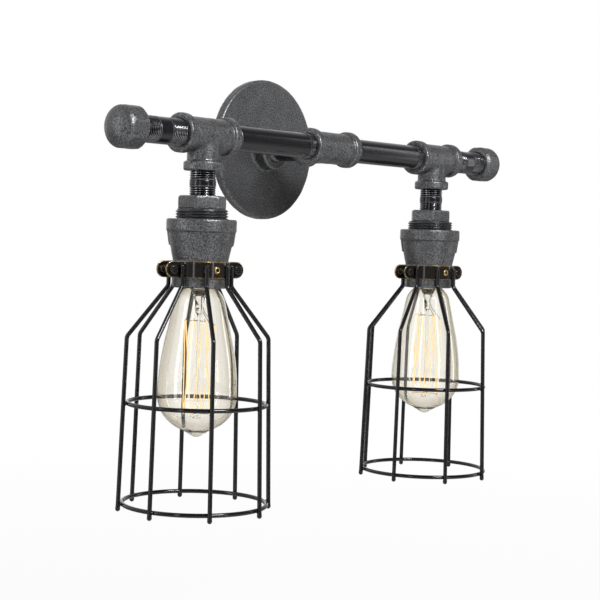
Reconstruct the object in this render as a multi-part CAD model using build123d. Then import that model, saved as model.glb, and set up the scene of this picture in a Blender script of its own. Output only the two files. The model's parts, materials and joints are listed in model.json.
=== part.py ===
from build123d import *
import math
import os

# Two-lamp wall light made of black iron pipe fittings, in millimetres.
# Frame: +X along the bar, -Y out of the wall into the room, +Z up.
# Origin: centre of the wall plate's back, in the wall plane.

# ---- half-inch pipe and its thread -------------------------------------------------
pipe_od = 21.3
pipe_bore = 15.8
pipe_pitch = 1.81            # 14 threads per inch
pipe_thread_depth = 1.0
thread_gap = 0.05            # radial play of a pipe thread in its fitting
bar_nipple_length = 114.3    # 4 1/2 inch
bar_thread_length = 12.8     # cut thread at each end
end_nipple_length = 63.5     # 2 1/2 inch
end_thread_length = 17.6
drop_nipple_length = 38.1    # 1 1/2 inch
drop_thread_length = 13.6
standoff_length = 50.8       # 2 inch

# ---- tees --------------------------------------------------------------------------
tee_reach = 28.5             # centre to collar face
tee_body_od = 27.4
tee_branch_od = 26.4
tee_blend = 3.5              # casting radius where the branch leaves the run
collar_od = 31.6
collar_width = 7.4
cast_edge = 0.9              # bevel of cast edges
pipe_grip = 9.2              # length of thread screwed into a tee
waterway = 17.4              # bore between a fitting's threads
bore_relief = 1.0            # tapped depth beyond the end of the pipe

# ---- end caps ----------------------------------------------------------------------
cap_od = 33.6
cap_flats = 32.6             # across the eight cast flats
cap_band = 15.4              # open face to the start of the dome
cap_dome = 10.6
cap_corner = 8.0             # rounding between the band and the crown
cap_bevel = 2.8
cap_grip = 11.6
cap_wall = 4.0

# ---- wall plate --------------------------------------------------------------------
plate_od = 125.2
plate_thickness = 8.0
plate_rim = 6.0              # width of the rim round the hollow back
plate_hollow = 3.6           # depth of the hollow back
plate_edge = 1.2
hub_od = 36.0
hub_height = 21.0            # wall plane to hub face
hub_taper = 2.0
hub_grip = 9.6
box_screw_spacing = 88.9     # 3 1/2 inch, the screw spacing of a round box
box_screw_od = 4.2
box_screw_neck = 3.6         # plain neck in the plate, as thick as the blank before thread rolling
box_screw_hole = 5.2
box_screw_reach = 14.0       # length behind the wall plane
screw_head_od = 8.2
screw_head_height = 2.6
slot_width = 1.1
slot_depth = 1.2
ground_screw_od = 4.0
ground_screw_drop = 34.0     # below the plate's centre
ground_screw_depth = 3.2     # length in the plate
end_play = 0.3               # room beyond a screw's end
ground_head_od = 7.6
ground_head_height = 2.2

# ---- hex bushing, 1 1/4 to 1/2 inch -------------------------------------------------
bushing_grip = 9.0           # length of drop nipple screwed in
hex_flats = 34.4
hex_height = 10.3
hex_bevel = 1.0
bushing_od = 42.1
bushing_pitch = 2.21         # 11 1/2 threads per inch
bushing_thread_depth = 1.3
bushing_show = 8.2           # thread left above the reducer
bushing_thread_length = 20.0
bushing_cup = 30.0           # bore of the hollow lower end
bushing_cup_depth = 14.0

# ---- bell reducer, 1 1/4 to 1 inch --------------------------------------------------
reducer_collar_od = 56.2
reducer_collar_height = 10.1
reducer_height = 54.7
reducer_body_od = 52.4
reducer_shoulder = 11.0      # straight part of the body below the collar
reducer_taper = 11.4         # height of the cone
reducer_foot_od = 44.3
reducer_mouth_depth = 20.1   # depth of the wide bore
reducer_foot_bore = 32.8
rib_width = 3.0
rib_proud = 1.2
rib_turn = -50.0             # direction of the two ribs seen from above, degrees

# ---- lamp holder --------------------------------------------------------------------
hanger_thickness = 2.0
hanger_play = 1.5
stem_od = 9.8
stem_bore = 6.4
stem_play = 0.1
stem_show = 1.0              # stem standing above its upper nut
nut_flats = 14.0
nut_height = 3.0
holder_od = 31.4
holder_length = 31.2
holder_roof = 2.4
holder_chamber = 2.2         # wiring space between the roof and the floor
holder_floor = 1.2
holder_wall = 1.3
lamp_shell_wall = 0.5
shell_play = 0.1
shell_inset = 1.0
contact_od = 8.0
contact_thickness = 0.8
contact_gap = 0.2

# ---- bulb, 64 mm across with a 26 mm screw base --------------------------------------
base_od = 26.2
base_pitch = 3.63
base_thread_depth = 0.7
base_length = 18.6
base_wall = 0.5
base_cone = 4.4
base_seat = 2.0              # insulator's length inside the base
base_tip_od = 9.4
base_tip_height = 1.6
tip_bevel = 0.6
bulb_od = 64.0
bulb_length = 144.0          # contact to the far end of the glass
neck_depth = 8.0             # glass inside the base
neck_play = 0.2
bulb_shoulder_od = 41.2      # where the neck's curve meets the flank
bulb_shoulder_drop = 11.6
bulb_flank_od = 54.8         # half way down the flank
bulb_flank_drop = 43.2
bulb_crown = 30.0            # widest place to the end of the round glass
bulb_pip_start = 8.0         # radius where the drawn tip leaves the round glass
bulb_pip_od = 5.0
bulb_pip_length = 3.6
glass_wall = 0.9
mount_flare = 3.0            # start of the glass mount inside the base
mount_waist = 9.0
mount_waist_drop = 6.0
mount_pinch = 6.0
mount_length = 19.0
rod_od = 3.0
rod_clear = 10.8             # end of the glass rod to the round end of the bulb
filament_od = 0.7
filament_ring = 25.0
filament_legs = 8
filament_drop = 30.6         # base to the top of the legs
support_od = 0.6
support_gap = 0.3

# ---- cage ----------------------------------------------------------------------------
clamp_height = 13.4
clamp_thickness = 1.3
clamp_play = 0.25
clamp_rise = 0.9             # clamp's top edge below the cone
clamp_turn = -11.0           # direction of one pair of ears, degrees
ear_gap = 12.0
ear_reach = 30.4             # lamp axis to the ear's hole
ear_hole = 4.4
clamp_screw_od = 4.0
clamp_head_od = 7.4
clamp_head_height = 2.4
clamp_screw_show = 1.6       # length past its nut
clamp_nut_flats = 7.0
clamp_nut_height = 3.0
eyelet_hole = 3.0
eyelet_lip = 0.8
wire_od = 3.5
wire_count = 8
weld_gap = 0.05
wire_top_inset = 2.4
wire_tail = 6.4              # clamp's lower edge to the outward bend
shoulder_od = 115.2          # across the wires' centre lines
shoulder_drop = 41.0
mouth_od = 122.6
mouth_drop = 133.0           # shoulder to the lower ring
middle_ring_drop = 53.0
wire_end_drop = 3.8
wire_bend = 6.0
wire_drop_od = 4.0           # bead of paint on each wire's end

# ---- wiring --------------------------------------------------------------------------
lead_od = 2.2
lead_spread = 1.25           # half the distance between a pair's centres
lead_bend = 7.0
pair_offset = 2.8            # each pair's distance from the stand-off's axis
lead_stop = 0.5              # leads end this far inside the wall plane
lead_tail = 1.0              # leads end this far below the stem

SIDES = {"left": -1, "right": 1}
BUSHING_TURN = {"left": 29.0, "right": 41.0}

# ---- places worked out from the sizes above -------------------------------------------
pipe_start = tee_reach - pipe_grip
bar_reach = hub_height - hub_grip + standoff_length + pipe_start
lamp_x = 2 * pipe_start + bar_nipple_length
cap_face = lamp_x + pipe_start + end_nipple_length - cap_grip
hex_top = -(pipe_start + drop_nipple_length - bushing_grip)
thread_top = hex_top - hex_height
bushing_foot = thread_top - bushing_thread_length
reducer_top = thread_top - bushing_show
reducer_foot = reducer_top - reducer_height
ledge = reducer_top - reducer_mouth_depth
collar_foot = reducer_top - reducer_collar_height
cone_top = collar_foot - reducer_shoulder
cone_foot = cone_top - reducer_taper
mouth_bore = bushing_od / 2 + 2 * thread_gap
holder_top = ledge - nut_height
holder_mouth = holder_top - holder_length
chamber_top = holder_top - holder_roof
floor_top = chamber_top - holder_chamber
floor_foot = floor_top - holder_floor
bulb_top = floor_foot - contact_thickness - contact_gap
base_top = bulb_top - base_tip_height - base_cone
base_foot = base_top - base_length
base_root = base_od / 2 - base_thread_depth
base_bore = base_root - base_wall
bulb_tip = bulb_top - bulb_length
bulb_belly = bulb_tip + bulb_pip_length + bulb_crown
rod_end = bulb_belly - bulb_crown + rod_clear
leg_turn = filament_ring / 2 * math.sin(math.pi / filament_legs)
leg_top = base_foot - filament_drop
leg_foot = rod_end + rod_od + support_od + leg_turn
clamp_top = cone_foot - clamp_rise
clamp_foot = clamp_top - clamp_height
clamp_middle = (clamp_top + clamp_foot) / 2
clamp_inner = reducer_foot_od / 2 + clamp_play
clamp_outer = clamp_inner + clamp_thickness
ear_face = ear_gap / 2 + clamp_thickness
wire_ring = clamp_outer + weld_gap + wire_od / 2
wire_top = clamp_top - wire_top_inset
bend_level = clamp_foot - wire_tail
shoulder_level = bend_level - shoulder_drop
mouth_level = shoulder_level - mouth_drop
wire_end = mouth_level - wire_end_drop


# ---- shared shapes ----------------------------------------------------------------------
def turned(edges):
    """Solid turned about Z from a closed outline drawn with x as radius and y as height."""
    return revolve(Plane.XZ * make_face(edges), Axis.Z)


def lathe(points):
    """Solid turned about Z from the corners of its outline, as (radius, height)."""
    return turned(Polyline(*points, close=True).edges())


def tube(outer, inner, low, high, edge=0.0):
    """Round tube on Z from low to high, its outer edges bevelled."""
    corners = [(inner, low), (outer - edge, low), (outer, low + edge),
               (outer, high - edge), (outer - edge, high), (inner, high)]
    return lathe(distinct(corners))


def bar(radius, low, high):
    """Plain round bar on Z from low to high."""
    return Pos(0, 0, (low + high) / 2) * Cylinder(radius, high - low)


def distinct(points):
    """The points without any that repeats the one before it."""
    kept = [points[0]]
    for point in points[1:]:
        if math.dist(point, kept[-1]) > 1e-6:
            kept.append(point)
    return kept


def crests(radius, depth, pitch, start, end):
    """Outline of thread crests from start to end, drawn as rings at the thread's pitch."""
    turns = max(1, round(abs(end - start) / pitch))
    step = (end - start) / turns
    points = []
    for turn in range(turns):
        root = start + turn * step
        points += [(radius - depth, root), (radius, root + 0.4 * step), (radius, root + 0.6 * step)]
    return points + [(radius - depth, end)]


def hexagon(flats, low, high, turn=0.0):
    """Hexagonal prism on Z, its corners turned by an angle."""
    outline = RegularPolygon(flats / 2, 6, major_radius=False, rotation=turn)
    return Pos(0, 0, low) * extrude(outline, high - low)


def swept(radius, points, bends):
    """Round wire along straight runs joined by tangent arcs."""
    path = FilletPolyline(*points, radius=bends)
    return sweep(Plane(path @ 0, z_dir=path % 0) * Circle(radius), path)


def straight(radius, start, end):
    """Straight round wire between two points."""
    start, end = Vector(*start), Vector(*end)
    return extrude(Plane(start, z_dir=end - start) * Circle(radius), (end - start).length)


def along_x(solid, *centre):
    """Place a piece built on Z so that its Z runs along +X."""
    return Pos(*centre) * Rot(0, 90, 0) * solid


def to_room(solid, *centre):
    """Place a piece built on Z so that its Z points into the room, along -Y."""
    return Pos(*centre) * Rot(90, 0, 0) * solid


# ---- pipe and fittings --------------------------------------------------------------------
def nipple(length, thread):
    """Pipe of a given length on Z, centred on the origin, with a length of thread at both ends."""
    radius, half = pipe_od / 2, length / 2
    outline = [(pipe_bore / 2, -half)]
    outline += crests(radius, pipe_thread_depth, pipe_pitch, -half, thread - half)
    outline += [(radius, thread - half), (radius, half - thread)]
    outline += crests(radius, pipe_thread_depth, pipe_pitch, half - thread, half)
    outline += [(pipe_bore / 2, half)]
    return lathe(distinct(outline))


def tapped_mouth(grip):
    """Cutter on Z for a threaded mouth whose face is at the origin, the fitting below it."""
    depth = grip + bore_relief
    return bar(pipe_od / 2 + thread_gap, -depth, 1)


def tee():
    """Tee at the origin, its run along X and its branch down -Z."""
    run = along_x(Cylinder(tee_body_od / 2, 2 * tee_reach - collar_width))
    branch = bar(tee_branch_od / 2, -(tee_reach - collar_width / 2), 0)
    body = run + branch
    body = fillet(body.edges().filter_by(GeomType.BSPLINE), tee_blend)
    band = tube(collar_od / 2, waterway / 2, -collar_width, 0, cast_edge)
    mouths = [Rot(0, 90, 0), Rot(0, -90, 0), Rot(180, 0, 0)]
    for mouth in mouths:
        body += mouth * Pos(0, 0, tee_reach) * band
    for mouth in mouths:
        body -= mouth * bar(waterway / 2, 0, tee_reach)
        body -= mouth * Pos(0, 0, tee_reach) * tapped_mouth(pipe_grip)
    return body


def cap():
    """End cap on Z: its open face at the origin, its dome up, with eight cast flats."""
    outer = cap_od / 2
    top = cap_band + cap_dome
    inset = outer - cap_corner
    crown = (inset ** 2 + cap_dome ** 2 - cap_corner ** 2) / (2 * (cap_dome - cap_corner))
    centre = Vector(0, top - crown)
    meet = centre + (Vector(inset, cap_band) - centre).normalized() * crown
    edges = [
        Polyline((0, top), (0, 0), (outer - cap_bevel, 0), (outer, cap_bevel), (outer, cap_band)),
        TangentArc((outer, cap_band), (meet.X, meet.Y), tangent=(0, 1)),
        TangentArc((0, top), (meet.X, meet.Y), tangent=(1, 0)),
    ]
    body = turned([edge for curve in edges for edge in curve.edges()])
    body &= extrude(RegularPolygon(cap_flats / 2, 8, major_radius=False, rotation=22.5), top)
    body -= bar(pipe_od / 2 + thread_gap, -1, cap_grip + bore_relief)
    body -= bar(waterway / 2, 0, top - cap_wall)
    return body


def wall_plate():
    """Wall plate on Z: its back at the origin, hollow behind, with a tapped hub in front."""
    rim, hub, mouth = plate_od / 2, hub_od / 2, pipe_od / 2 + thread_gap
    tapped = hub_height - hub_grip - bore_relief
    body = lathe([
        (waterway / 2, plate_hollow), (rim - plate_rim, plate_hollow), (rim - plate_rim, 0),
        (rim, 0), (rim, plate_thickness - plate_edge), (rim - plate_edge, plate_thickness),
        (hub + hub_taper, plate_thickness), (hub, plate_thickness + hub_taper),
        (hub, hub_height - cast_edge), (hub - cast_edge, hub_height),
        (mouth, hub_height), (mouth, tapped), (waterway / 2, tapped),
    ])
    for side in SIDES.values():
        body -= Pos(side * box_screw_spacing / 2, 0, 0) * bar(box_screw_hole / 2, 0, plate_thickness + 1)
    ground_hole = bar(ground_screw_od / 2 + thread_gap, -1, ground_screw_depth + end_play)
    return body - Pos(0, -ground_screw_drop, plate_hollow) * ground_hole


def slotted_screw(shank_od, head_od, head_height, length):
    """Slotted screw on Z, the underside of its head at the origin and its shank down."""
    bevel = 0.3 * head_height
    screw = bar(shank_od / 2, -length, 0.5 * head_height)
    screw += tube(head_od / 2, 0, 0, head_height, bevel)
    return screw - Pos(0, 0, head_height) * Box(head_od + 1, slot_width, 2 * slot_depth)


def hex_bushing(turn):
    """Hex bushing in place under the drop nipple, its corners turned by an angle."""
    corner = hex_flats / math.sqrt(3)
    head = hexagon(hex_flats, thread_top, hex_top, turn)
    head &= tube(corner, 0, thread_top, hex_top, hex_bevel)
    screw = lathe(distinct(
        [(0, bushing_foot)]
        + crests(bushing_od / 2, bushing_thread_depth, bushing_pitch, bushing_foot, thread_top)
        + [(0, thread_top)]
    ))
    body = head + screw
    body -= Pos(0, 0, hex_top) * tapped_mouth(bushing_grip)
    body -= bar(waterway / 2, bushing_foot - 1, hex_top)
    return body - bar(bushing_cup / 2, bushing_foot - 1, bushing_foot + bushing_cup_depth)


def bell_reducer():
    """Bell reducer in place below the bushing: wide collar, cone, narrow foot and two ribs."""
    collar, body_r, foot = reducer_collar_od / 2, reducer_body_od / 2, reducer_foot_od / 2
    narrow = reducer_foot_bore / 2
    body = lathe([
        (narrow, reducer_foot), (foot - cast_edge, reducer_foot), (foot, reducer_foot + cast_edge),
        (foot, cone_foot), (body_r, cone_top), (body_r, collar_foot),
        (collar - cast_edge, collar_foot), (collar, collar_foot + cast_edge),
        (collar, reducer_top - cast_edge), (collar - cast_edge, reducer_top),
        (mouth_bore, reducer_top), (mouth_bore, ledge), (narrow, ledge),
    ])
    depth = body_r - mouth_bore
    rib = Box(depth + rib_proud, rib_width, reducer_shoulder)
    middle = mouth_bore + (depth + rib_proud) / 2
    for turn in (rib_turn, rib_turn + 180):
        body += Rot(0, 0, turn) * Pos(middle, 0, (collar_foot + cone_top) / 2) * rib
    return body


# ---- lamp holder ------------------------------------------------------------------------
def hanger():
    """Steel disc that rests on the reducer's inner ledge and carries the lamp holder."""
    return tube(mouth_bore - hanger_play, stem_od / 2 + stem_play, ledge, ledge + hanger_thickness)


def holder_stem():
    """Hollow stem from above the hanger's nut down to the underside of the holder's roof."""
    return tube(stem_od / 2, stem_bore / 2, chamber_top, ledge + hanger_thickness + nut_height + stem_show)


def stem_nuts():
    """Nut above the hanger and nut between the hanger and the holder."""
    upper = ledge + hanger_thickness
    hole = bar(stem_od / 2 + stem_play, holder_top - 1, upper + nut_height + 1)
    return [hexagon(nut_flats, low, low + nut_height) - hole for low in (upper, holder_top)]


def lamp_holder():
    """Insulating cup: roof with the stem's hole, wiring chamber, floor and a deep skirt."""
    outer, skirt = holder_od / 2, holder_od / 2 - holder_wall
    chamber = skirt - holder_wall
    cup = tube(outer, skirt, holder_mouth, floor_foot)
    floor = tube(outer, contact_od / 8, floor_foot, floor_top)
    wall = tube(outer, chamber, floor_top, chamber_top)
    roof = tube(outer, stem_od / 2 + stem_play, chamber_top, holder_top)
    return cup + floor + wall + roof


def lamp_shell():
    """Brass shell inside the holder's skirt that the bulb's base goes into."""
    outer = holder_od / 2 - holder_wall - shell_play
    return tube(outer, outer - lamp_shell_wall, holder_mouth + shell_inset, floor_foot)


def centre_contact():
    """Brass disc under the holder's floor, with a rivet through the floor's hole."""
    disc = bar(contact_od / 2, floor_foot - contact_thickness, floor_foot)
    return disc + bar(contact_od / 8 - shell_play, floor_foot - contact_thickness, floor_top)


# ---- bulb ---------------------------------------------------------------------------------
def base_shell():
    """Thin brass screw shell of the bulb's base."""
    outline = [(base_bore, base_foot)]
    outline += crests(base_od / 2, base_thread_depth, base_pitch, base_foot, base_top)
    return lathe(distinct(outline + [(base_bore, base_top)]))


def base_insulator():
    """Black glass cone between the base's shell and its contact."""
    plug, tip = base_bore - neck_play / 2, base_tip_od / 2
    return lathe([
        (0, base_top - base_seat), (plug, base_top - base_seat), (plug, base_top),
        (tip, bulb_top - base_tip_height), (0, bulb_top - base_tip_height),
    ])


def base_contact():
    """Contact button on the end of the base."""
    return Pos(0, 0, bulb_top - base_tip_height) * lathe([
        (0, 0), (base_tip_od / 2, 0), (base_tip_od / 2, base_tip_height - tip_bevel),
        (base_tip_od / 2 - tip_bevel, base_tip_height), (0, base_tip_height),
    ])


def envelope(inset, tipped):
    """Filled shape of the bulb, smaller all round by an inset, with or without its drawn tip."""
    neck, neck_top = base_bore - neck_play - inset, base_foot + neck_depth
    shoulder = (bulb_shoulder_od / 2 - inset, base_foot - bulb_shoulder_drop)
    flank = (bulb_flank_od / 2 - inset, base_foot - bulb_flank_drop)
    belly = (bulb_od / 2 - inset, bulb_belly)
    haunch = (belly[0] * math.sqrt(0.5), bulb_belly - (bulb_crown - inset) * math.sqrt(0.5))
    end = (0, bulb_belly - bulb_crown + inset)
    upper = TangentArc(belly, flank, tangent=(0, 1))
    middle = TangentArc(flank, shoulder, tangent=upper % 1)
    crown = TangentArc(end, haunch, tangent=(1, 0))
    curves = [
        TangentArc(shoulder, (neck, base_foot), tangent=middle % 1), middle, upper,
        TangentArc(belly, haunch, tangent=(0, -1)),
    ]
    if tipped:
        share = math.asin(bulb_pip_start / crown.radius) / math.asin(haunch[0] / crown.radius)
        button = TangentArc((0, bulb_tip), (bulb_pip_od / 2, bulb_tip + bulb_pip_od / 4), tangent=(1, 0))
        curves += [crown.trim(share, 1), TangentArc(button @ 1, crown @ share, tangent=button % 1), button]
        end = (0, bulb_tip)
    else:
        curves.append(crown)
    curves.append(Polyline(end, (0, neck_top), (neck, neck_top), (neck, base_foot)))
    return turned([edge for curve in curves for edge in curve.edges()])


def bulb_glass():
    """Thin glass envelope, open at the neck inside the base, with a drawn tip."""
    neck_top = base_foot + neck_depth
    opening = bar(base_bore - neck_play - glass_wall, neck_top - 2 * glass_wall, neck_top + 1)
    return envelope(0, True) - envelope(glass_wall, False) - opening


def glass_mount():
    """Glass flare, pinch and long centre rod that carry the filament."""
    flare = base_bore - neck_play - glass_wall - shell_play
    start, waist = base_foot + mount_flare, base_foot - mount_waist_drop
    pinch = base_foot - mount_length
    return lathe([
        (0, start), (flare, start), (mount_waist / 2, waist), (mount_pinch / 2, pinch + mount_pinch),
        (mount_pinch / 2, pinch), (rod_od / 2, pinch - rod_od / 2), (rod_od / 2, rod_end + rod_od),
        (rod_od, rod_end + rod_od / 2), (rod_od, rod_end), (0, rod_end),
    ])


def leg_point(index, height):
    """Point on the filament's ring at a leg's angle."""
    angle = 2 * math.pi * index / filament_legs
    return Vector(filament_ring / 2 * math.cos(angle), filament_ring / 2 * math.sin(angle), height)


def filament():
    """One wire up and down the ring of legs, with a half-round turn between each two."""
    path = []
    for index in range(filament_legs):
        start, end = (leg_top, leg_foot) if index % 2 == 0 else (leg_foot, leg_top)
        here, there = leg_point(index, start), leg_point(index, end)
        path += Line(here, there).edges()
        if index < filament_legs - 1:
            after = leg_point(index + 1, end)
            crown = (there + after) / 2 + Vector(0, 0, math.copysign(leg_turn, end - start))
            path += ThreePointArc(there, crown, after).edges()
    wire = Wire(path)
    return sweep(Plane(wire @ 0, z_dir=wire % 0) * Circle(filament_od / 2), wire)


def filament_supports():
    """Two lead-in wires, and a hook from the glass rod to each turn of the filament."""
    radius = support_od / 2
    wires = []
    for index in (0, filament_legs - 1):
        foot = leg_point(index, 0).normalized() * (mount_pinch / 2 + support_gap + radius)
        head = leg_point(index, leg_top) + Vector(0, 0, support_gap + radius)
        start = foot + Vector(0, 0, base_foot - mount_length + mount_pinch / 2)
        wires.append(straight(radius, tuple(start), tuple(head)))
    for index in range(filament_legs - 1):
        middle = (leg_point(index, 0) + leg_point(index + 1, 0)) / 2
        level = Vector(0, 0, leg_foot - leg_turn if index % 2 == 0 else leg_top + leg_turn)
        inner = middle.normalized() * (rod_od / 2 + shell_play)
        outer = middle - middle.normalized() * (filament_od / 2 + support_gap)
        wires.append(straight(radius, tuple(inner + level), tuple(outer + level)))
    return wires


# ---- cage -----------------------------------------------------------------------------------
def clamp_half(front):
    """Half of the clamp with an ear at each end; front is 1 for the half on -Y, -1 for +Y."""
    side_of_gap = Box(4 * clamp_outer, 2 * clamp_outer, clamp_height)
    half = tube(clamp_outer, clamp_inner, clamp_foot, clamp_top)
    half &= Pos(0, -front * (ear_gap / 2 + clamp_outer), clamp_middle) * side_of_gap
    start = math.sqrt(clamp_inner ** 2 - (ear_gap / 2) ** 2)
    for side in SIDES.values():
        end = Pos(side * ear_reach, 0, 0) * Rot(90, 0, 0)
        flat = Box(ear_reach - start, clamp_thickness, clamp_height)
        round_end = end * Cylinder(clamp_height / 2, clamp_thickness)
        ear = Pos(side * (start + ear_reach) / 2, 0, 0) * flat + round_end
        ear -= end * Cylinder(ear_hole / 2, 3 * clamp_thickness)
        half += Pos(0, -front * (ear_gap + clamp_thickness) / 2, clamp_middle) * ear
    outward = Pos(0, 0, clamp_middle) * Rot(front * 90, 0, 0)
    lip = tube(eyelet_hole / 2 + eyelet_lip, eyelet_hole / 2,
               (clamp_inner + clamp_outer) / 2, clamp_outer + eyelet_lip)
    half += outward * lip
    return half - outward * bar(eyelet_hole / 2, clamp_inner - 1, clamp_outer + 2 * eyelet_lip)


def clamp_screw():
    """Clamp screw on Z: underside of its head at the origin, shank down."""
    length = ear_gap + 2 * clamp_thickness + clamp_nut_height + clamp_screw_show
    return slotted_screw(clamp_screw_od, clamp_head_od, clamp_head_height, length)


def clamp_nuts():
    """Nut of each clamp screw, on the outside of the ears that face the wall."""
    nut = hexagon(clamp_nut_flats, 0, clamp_nut_height)
    nut -= bar(clamp_screw_od / 2 + thread_gap, -1, clamp_nut_height + 1)
    places = [Pos(side * ear_reach, ear_face, clamp_middle) for side in SIDES.values()]
    return [place * Rot(-90, 0, 0) * nut for place in places]


def wire_radius(level):
    """Distance of a cage wire's centre line from the lamp's axis, below the shoulder."""
    share = (shoulder_level - level) / mouth_drop
    return (shoulder_od + share * (mouth_od - shoulder_od)) / 2


def cage_wires():
    """Bent wires welded round the clamp, each with a bead on its lower end."""
    points = [
        (wire_ring, 0, wire_top), (wire_ring, 0, bend_level),
        (wire_radius(shoulder_level), 0, shoulder_level), (wire_radius(wire_end), 0, wire_end),
    ]
    wire = swept(wire_od / 2, points, wire_bend) + Pos(*points[-1]) * Sphere(wire_drop_od / 2)
    return [Rot(0, 0, 360 * (index + 0.5) / wire_count) * wire for index in range(wire_count)]


def cage_rings():
    """Two round rings welded inside the wires."""
    rings = []
    for level in (shoulder_level - middle_ring_drop, mouth_level):
        rings.append(Pos(0, 0, level) * Torus(wire_radius(level) - wire_od - weld_gap, wire_od / 2))
    return rings


# ---- wiring -------------------------------------------------------------------------------
def bar_leads():
    """Two insulated leads from each side tee through the bar and the stand-off to the wall."""
    leads = []
    for side in SIDES.values():
        for level in (-lead_spread, lead_spread):
            leads.append(swept(lead_od / 2, [
                (side * (lamp_x - pipe_start), -bar_reach, level),
                (side * pair_offset, -bar_reach, level),
                (side * pair_offset, -lead_stop, level),
            ], lead_bend))
    return leads


def lamp_leads(side):
    """Two insulated leads from the bar's end round the side tee and down into the holder."""
    leads = []
    for step in (-1, 1):
        leads.append(swept(lead_od / 2, [
            (side * (lamp_x - pipe_start), -bar_reach, step * lead_spread),
            (side * (lamp_x + step * lead_spread), -bar_reach, step * lead_spread),
            (side * (lamp_x + step * lead_spread), -bar_reach, chamber_top - lead_tail),
        ], lead_bend + step * lead_spread))
    return leads


# ---- the assembly ---------------------------------------------------------------------------
def write(node, *solids):
    """Write one node's solids to its file."""
    export_step(Compound(children=list(solids)), f"parts/{node}.step")


def write_frame():
    """The wall plate, its screws, the stand-off, the centre tee and the bar."""
    box_screw = slotted_screw(box_screw_neck, screw_head_od, screw_head_height, plate_thickness)
    box_screw += bar(box_screw_od / 2, -(plate_thickness + box_screw_reach), -plate_thickness)
    box_places = [Pos(side * box_screw_spacing / 2, -plate_thickness, 0) for side in SIDES.values()]
    ground_screw = slotted_screw(ground_screw_od, ground_head_od, ground_head_height, ground_screw_depth)
    standoff_middle = hub_height - hub_grip + standoff_length / 2
    write("wall_plate", to_room(wall_plate()))
    write("plate_screws", *[place * Rot(90, 0, 0) * box_screw for place in box_places])
    write("ground_screw", Pos(0, -plate_hollow, -ground_screw_drop) * Rot(-90, 0, 0) * ground_screw)
    write("standoff_nipple", to_room(nipple(standoff_length, drop_thread_length), 0, -standoff_middle, 0))
    write("centre_tee", to_room(tee(), 0, -bar_reach, 0))
    write("bar_leads", *bar_leads())
    for name, side in SIDES.items():
        middle = side * (pipe_start + bar_nipple_length / 2)
        pipe = nipple(bar_nipple_length, bar_thread_length)
        write(f"{name}_bar_pipe", along_x(pipe, middle, -bar_reach, 0))


def write_lamp(name, side):
    """One side tee with all that hangs from it or is screwed into it."""
    axis = Pos(side * lamp_x, -bar_reach, 0)
    end_middle = side * (lamp_x + pipe_start + end_nipple_length / 2)
    end_nipple = nipple(end_nipple_length, end_thread_length)
    drop_middle = Pos(0, 0, -(pipe_start + drop_nipple_length / 2))
    write(f"{name}_tee", axis * tee())
    write(f"{name}_end_nipple", along_x(end_nipple, end_middle, -bar_reach, 0))
    write(f"{name}_end_cap", Pos(side * cap_face, -bar_reach, 0) * Rot(0, 90 * side, 0) * cap())
    write(f"{name}_drop_nipple", axis * drop_middle * nipple(drop_nipple_length, drop_thread_length))
    write(f"{name}_hex_bushing", axis * hex_bushing(BUSHING_TURN[name]))
    write(f"{name}_bell_reducer", axis * bell_reducer())
    write(f"{name}_holder_hanger", axis * hanger())
    write(f"{name}_holder_stem", axis * holder_stem())
    write(f"{name}_stem_nuts", *[axis * nut for nut in stem_nuts()])
    write(f"{name}_lamp_holder", axis * lamp_holder())
    write(f"{name}_holder_shell", axis * lamp_shell())
    write(f"{name}_holder_contact", axis * centre_contact())
    write(f"{name}_lamp_leads", *lamp_leads(side))


def write_bulb(name, side):
    """One bulb, screwed home in its holder."""
    axis = Pos(side * lamp_x, -bar_reach, 0)
    write(f"{name}_bulb_base", axis * base_shell(), axis * base_contact())
    write(f"{name}_bulb_insulator", axis * base_insulator())
    write(f"{name}_bulb_glass", axis * bulb_glass())
    write(f"{name}_bulb_mount", axis * glass_mount())
    write(f"{name}_bulb_filament", axis * filament())
    write(f"{name}_bulb_supports", *[axis * wire for wire in filament_supports()])


def write_cage(name, side):
    """One cage with its clamp, screws and nuts."""
    axis = Pos(side * lamp_x, -bar_reach, 0) * Rot(0, 0, clamp_turn)
    write(f"{name}_clamp_front", axis * clamp_half(1))
    write(f"{name}_clamp_back", axis * clamp_half(-1))
    write(f"{name}_cage_wires", *[axis * wire for wire in cage_wires()])
    write(f"{name}_cage_rings", *[axis * ring for ring in cage_rings()])
    write(f"{name}_clamp_nuts", *[axis * nut for nut in clamp_nuts()])
    for end, reach in (("outer", side * ear_reach), ("inner", -side * ear_reach)):
        place = axis * Pos(reach, -ear_face, clamp_middle) * Rot(90, 0, 0)
        write(f"{name}_{end}_screw", place * clamp_screw())


os.makedirs("parts", exist_ok=True)
write_frame()
for lamp, direction in SIDES.items():
    write_lamp(lamp, direction)
    write_bulb(lamp, direction)
    write_cage(lamp, direction)
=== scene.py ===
"""Looks of the two-lamp pipe wall light: castings, threads, glass, cages, light and camera.

Everything is in metres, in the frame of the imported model: +X along the bar, -Y into the room,
+Z up, with the origin at the centre of the wall plate's back.
"""

import json
import logging
import math
from dataclasses import dataclass, field
from enum import Enum

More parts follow.
